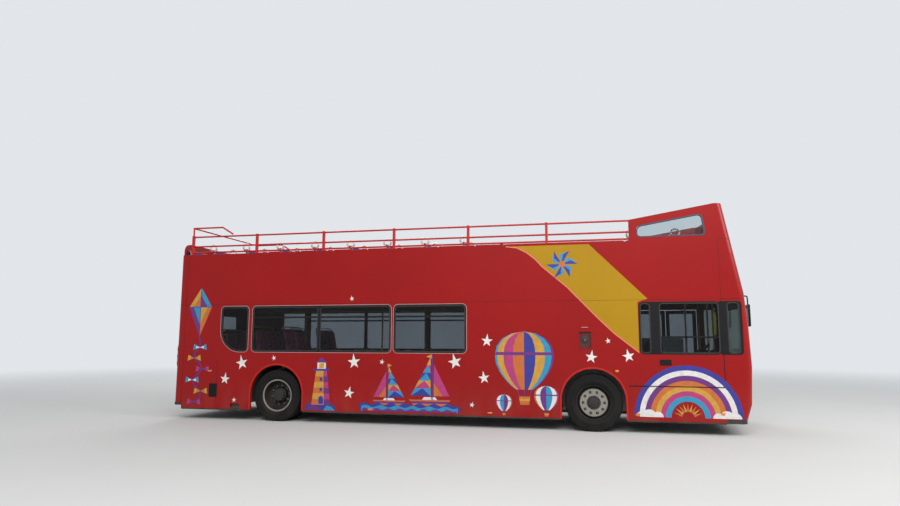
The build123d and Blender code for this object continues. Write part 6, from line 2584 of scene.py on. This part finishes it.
# %% Driver's place
wheel_hub = Vector((4.495, -0.720, 1.330))
wheel_tilt = math.radians(35)
grip_radius, ring_radius = 0.013, 0.211
ring_profile = []
for index in range(13):
    angle = math.tau * index / 12
    out = grip_radius * math.cos(angle)
    ring_profile.append((out, ring_radius + grip_radius * math.sin(angle)))
wheel = turned(ring_profile, origin, 1, 56)
hub_profile = [
    (-0.014, 0.0), (-0.014, 0.040), (-0.006, 0.052), (0.008, 0.052), (0.018, 0.040), (0.022, 0.0)
]
gather(wheel, turned(hub_profile, origin, 1, 32))
for angle in (-90, 30, 150):
    turn = rotation(angle, "Y")
    spoke = box_shape((0.040, 0.206), (-0.006, 0.006), (-0.016, 0.016), 0.005, 2)
    gather(wheel, spoke, turn)
lean_wheel = Matrix.Rotation(-wheel_tilt, 4, "Y") @ rotation(90, "X")
lean_wheel = Matrix.Translation(wheel_hub) @ lean_wheel
transform(wheel, lean_wheel)
piece = finish_piece(
    "driving_wheel", wheel, black_trim, body="steering_wheel", smooth_angle=50
)
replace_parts(piece, "steering_wheel")

cowl = box_shape((4.715, 4.930), (-0.960, -0.480), (1.115, 1.225), 0.030, 4)
for index in range(6):
    y = -1.140 + index * 0.026
    add_box(cowl, (4.640, 4.664), (y, y + 0.018), (1.118, 1.130), 0.003, 2)
add_box(cowl, (4.650, 4.780), (-0.420, -0.240), (1.115, 1.290), 0.015, 3)
finish_piece("dash_cowl", cowl, dash_plastic, smooth_angle=40)
dials = bmesh.new()
for y, radius in ((-0.800, 0.044), (-0.640, 0.044), (-0.720, 0.024)):
    profile = [
        (0.0, 0.0), (0.0, radius), (0.004, radius), (0.004, radius - 0.005),
        (0.002, radius - 0.006), (0.002, 0.0),
    ]
    gather(dials, facing(profile, (4.7155, y, 1.170), ahead=False))
add_box(dials, (4.646, 4.651), (-0.400, -0.260), (1.180, 1.270), 0.002, 1)
finish_piece("dials", dials, pale_trim_and_highlight, smooth_angle=40)
handle_path = [
    (3.700, y, z) for y, z in ((-0.284, 1.3), (-0.262, 1.31), (-0.262, 1.43), (-0.284, 1.44))
]
handle = tube_along(rounded_path(handle_path, 4), 0.007, 8)
finish_piece("cab_door_handle", handle, bare_steel, body="cab_door", smooth_angle=50)

# %% [markdown]
# The side box behind the skirt notch and the sign.
# Something dark closes the small notch near the rear. The sign over the windscreen is blank: a
# dark board with fine ribs, as when the sign is switched off.

# %% Notch box and sign
notch_boxes = bmesh.new()
for side, label in sides():
    y = outboard(side, 1.204, 1.110)
    add_box(notch_boxes, (-4.110, -3.870), y, (skirt_z, skirt_z + 0.120), 0.006, 1)
finish_piece("notch_boxes", notch_boxes, chassis_black)
board = front_plate((-0.735, 0.735), (2.425, 2.675), 0.010, -0.034, 0.004)
for index in range(9):
    z = 2.440 + index * 0.026
    gather(board, front_plate((-0.730, 0.730), (z, z + 0.006), 0.001, -0.031, 0.003))
finish_piece("sign_board", board, black_trim)

# %% [markdown]
# The floor and the light.
# The bus stands on a plain pale floor under soft studio light: one wide panel high on the
# camera's side, one weaker from the front, and a pale world that fills the shadows.

# %% Floor and light
background_colour = (226, 230, 234)
fade_from, fade_to = 7.5, 30


def seen_by_eye(tree):
    """Node that masks the rays that reach the eye straight, in gloss or through glass."""
    path = add_node(tree, "LightPath")
    mask, label = path, "Is Camera Ray"
    for ray in ("Is Glossy Ray", "Is Transmission Ray"):
        either = add_node(tree, "Math", operation="MAXIMUM")
        wire(tree, (mask, label, either, 0), (path, ray, either, 1))
        mask, label = either, "Value"
    return mask


def make_floor():
    """Pale round floor that fades into the background far from the bus."""
    shape = bmesh.new()
    bmesh.ops.create_circle(shape, cap_ends=True, segments=96, radius=160)
    slide(shape, (0, 0, -0.001))
    mesh = bpy.data.meshes.new("floor")
    shape.to_mesh(mesh)
    shape.free()
    material = make_finish(
        "pale floor", (204, 204, 202), (197, 197, 195), 0.5, 1, 0.75, ripple=30, shine=0.2
    )
    tree = material.node_tree
    where = add_node(tree, "TexCoord")
    far = add_node(tree, "VectorMath", operation="LENGTH")
    fade_range = {"From Min": fade_from, "From Max": fade_to}
    fade = add_node(tree, "MapRange", fade_range, interpolation_type="SMOOTHSTEP")
    seen = add_node(tree, "Math", operation="MULTIPLY")
    plain = add_node(tree, "Emission", {"Color": screen(*background_colour)})
    mix = add_node(tree, "MixShader")
    wire(
        tree,
        (where, "Object", far, 0),
        (far, "Value", fade, "Value"),
        (fade, "Result", seen, 0),
        (seen_by_eye(tree), "Value", seen, 1),
        (seen, "Value", mix, 0),
        (tree.nodes["Principled BSDF"], "BSDF", mix, 1),
        (plain, "Emission", mix, 2),
        (mix, "Shader", tree.nodes["Material Output"], "Surface"),
    )
    mesh.materials.append(material)
    floor = bpy.data.objects.new("floor", mesh)
    bpy.context.scene.collection.objects.link(floor)


def soft_panel(name, place, aim, size, watts):
    """Square area lamp that points at a place."""
    data = bpy.data.lights.new(name, "AREA")
    data.shape = "RECTANGLE"
    data.size, data.size_y = size
    data.energy = watts
    lamp = bpy.data.objects.new(name, data)
    bpy.context.scene.collection.objects.link(lamp)
    lamp.location = place
    lamp.rotation_mode = "QUATERNION"
    lamp.rotation_quaternion = (Vector(aim) - Vector(place)).to_track_quat("-Z", "Y")


def make_world():
    """Pale surroundings: plain to the camera, in glass and in gloss, softer as a light."""
    world = bpy.data.worlds.new("studio")
    bpy.context.scene.world = world
    world.use_nodes = True
    tree = world.node_tree
    back = tree.nodes["Background"]
    back.inputs["Color"].default_value = screen(*background_colour)
    strength = add_node(tree, "MapRange", {"To Min": 0.62, "To Max": 1.0})
    wire(
        tree,
        (seen_by_eye(tree), "Value", strength, "Value"),
        (strength, "Result", back, "Strength"),
    )


make_floor()
make_world()
soft_panel("key panel", (4, -16, 13), (0, 0, 1.5), (14, 8), 2600)
soft_panel("front panel", (16, -6, 9), (3, 0, 2), (8, 6), 1300)
soft_panel("far panel", (-6, 15, 11), (0, 0, 2), (12, 6), 1200)
bpy.context.scene.view_settings.view_transform = "Standard"
print("lamps:", [lamp.name for lamp in bpy.data.lights])
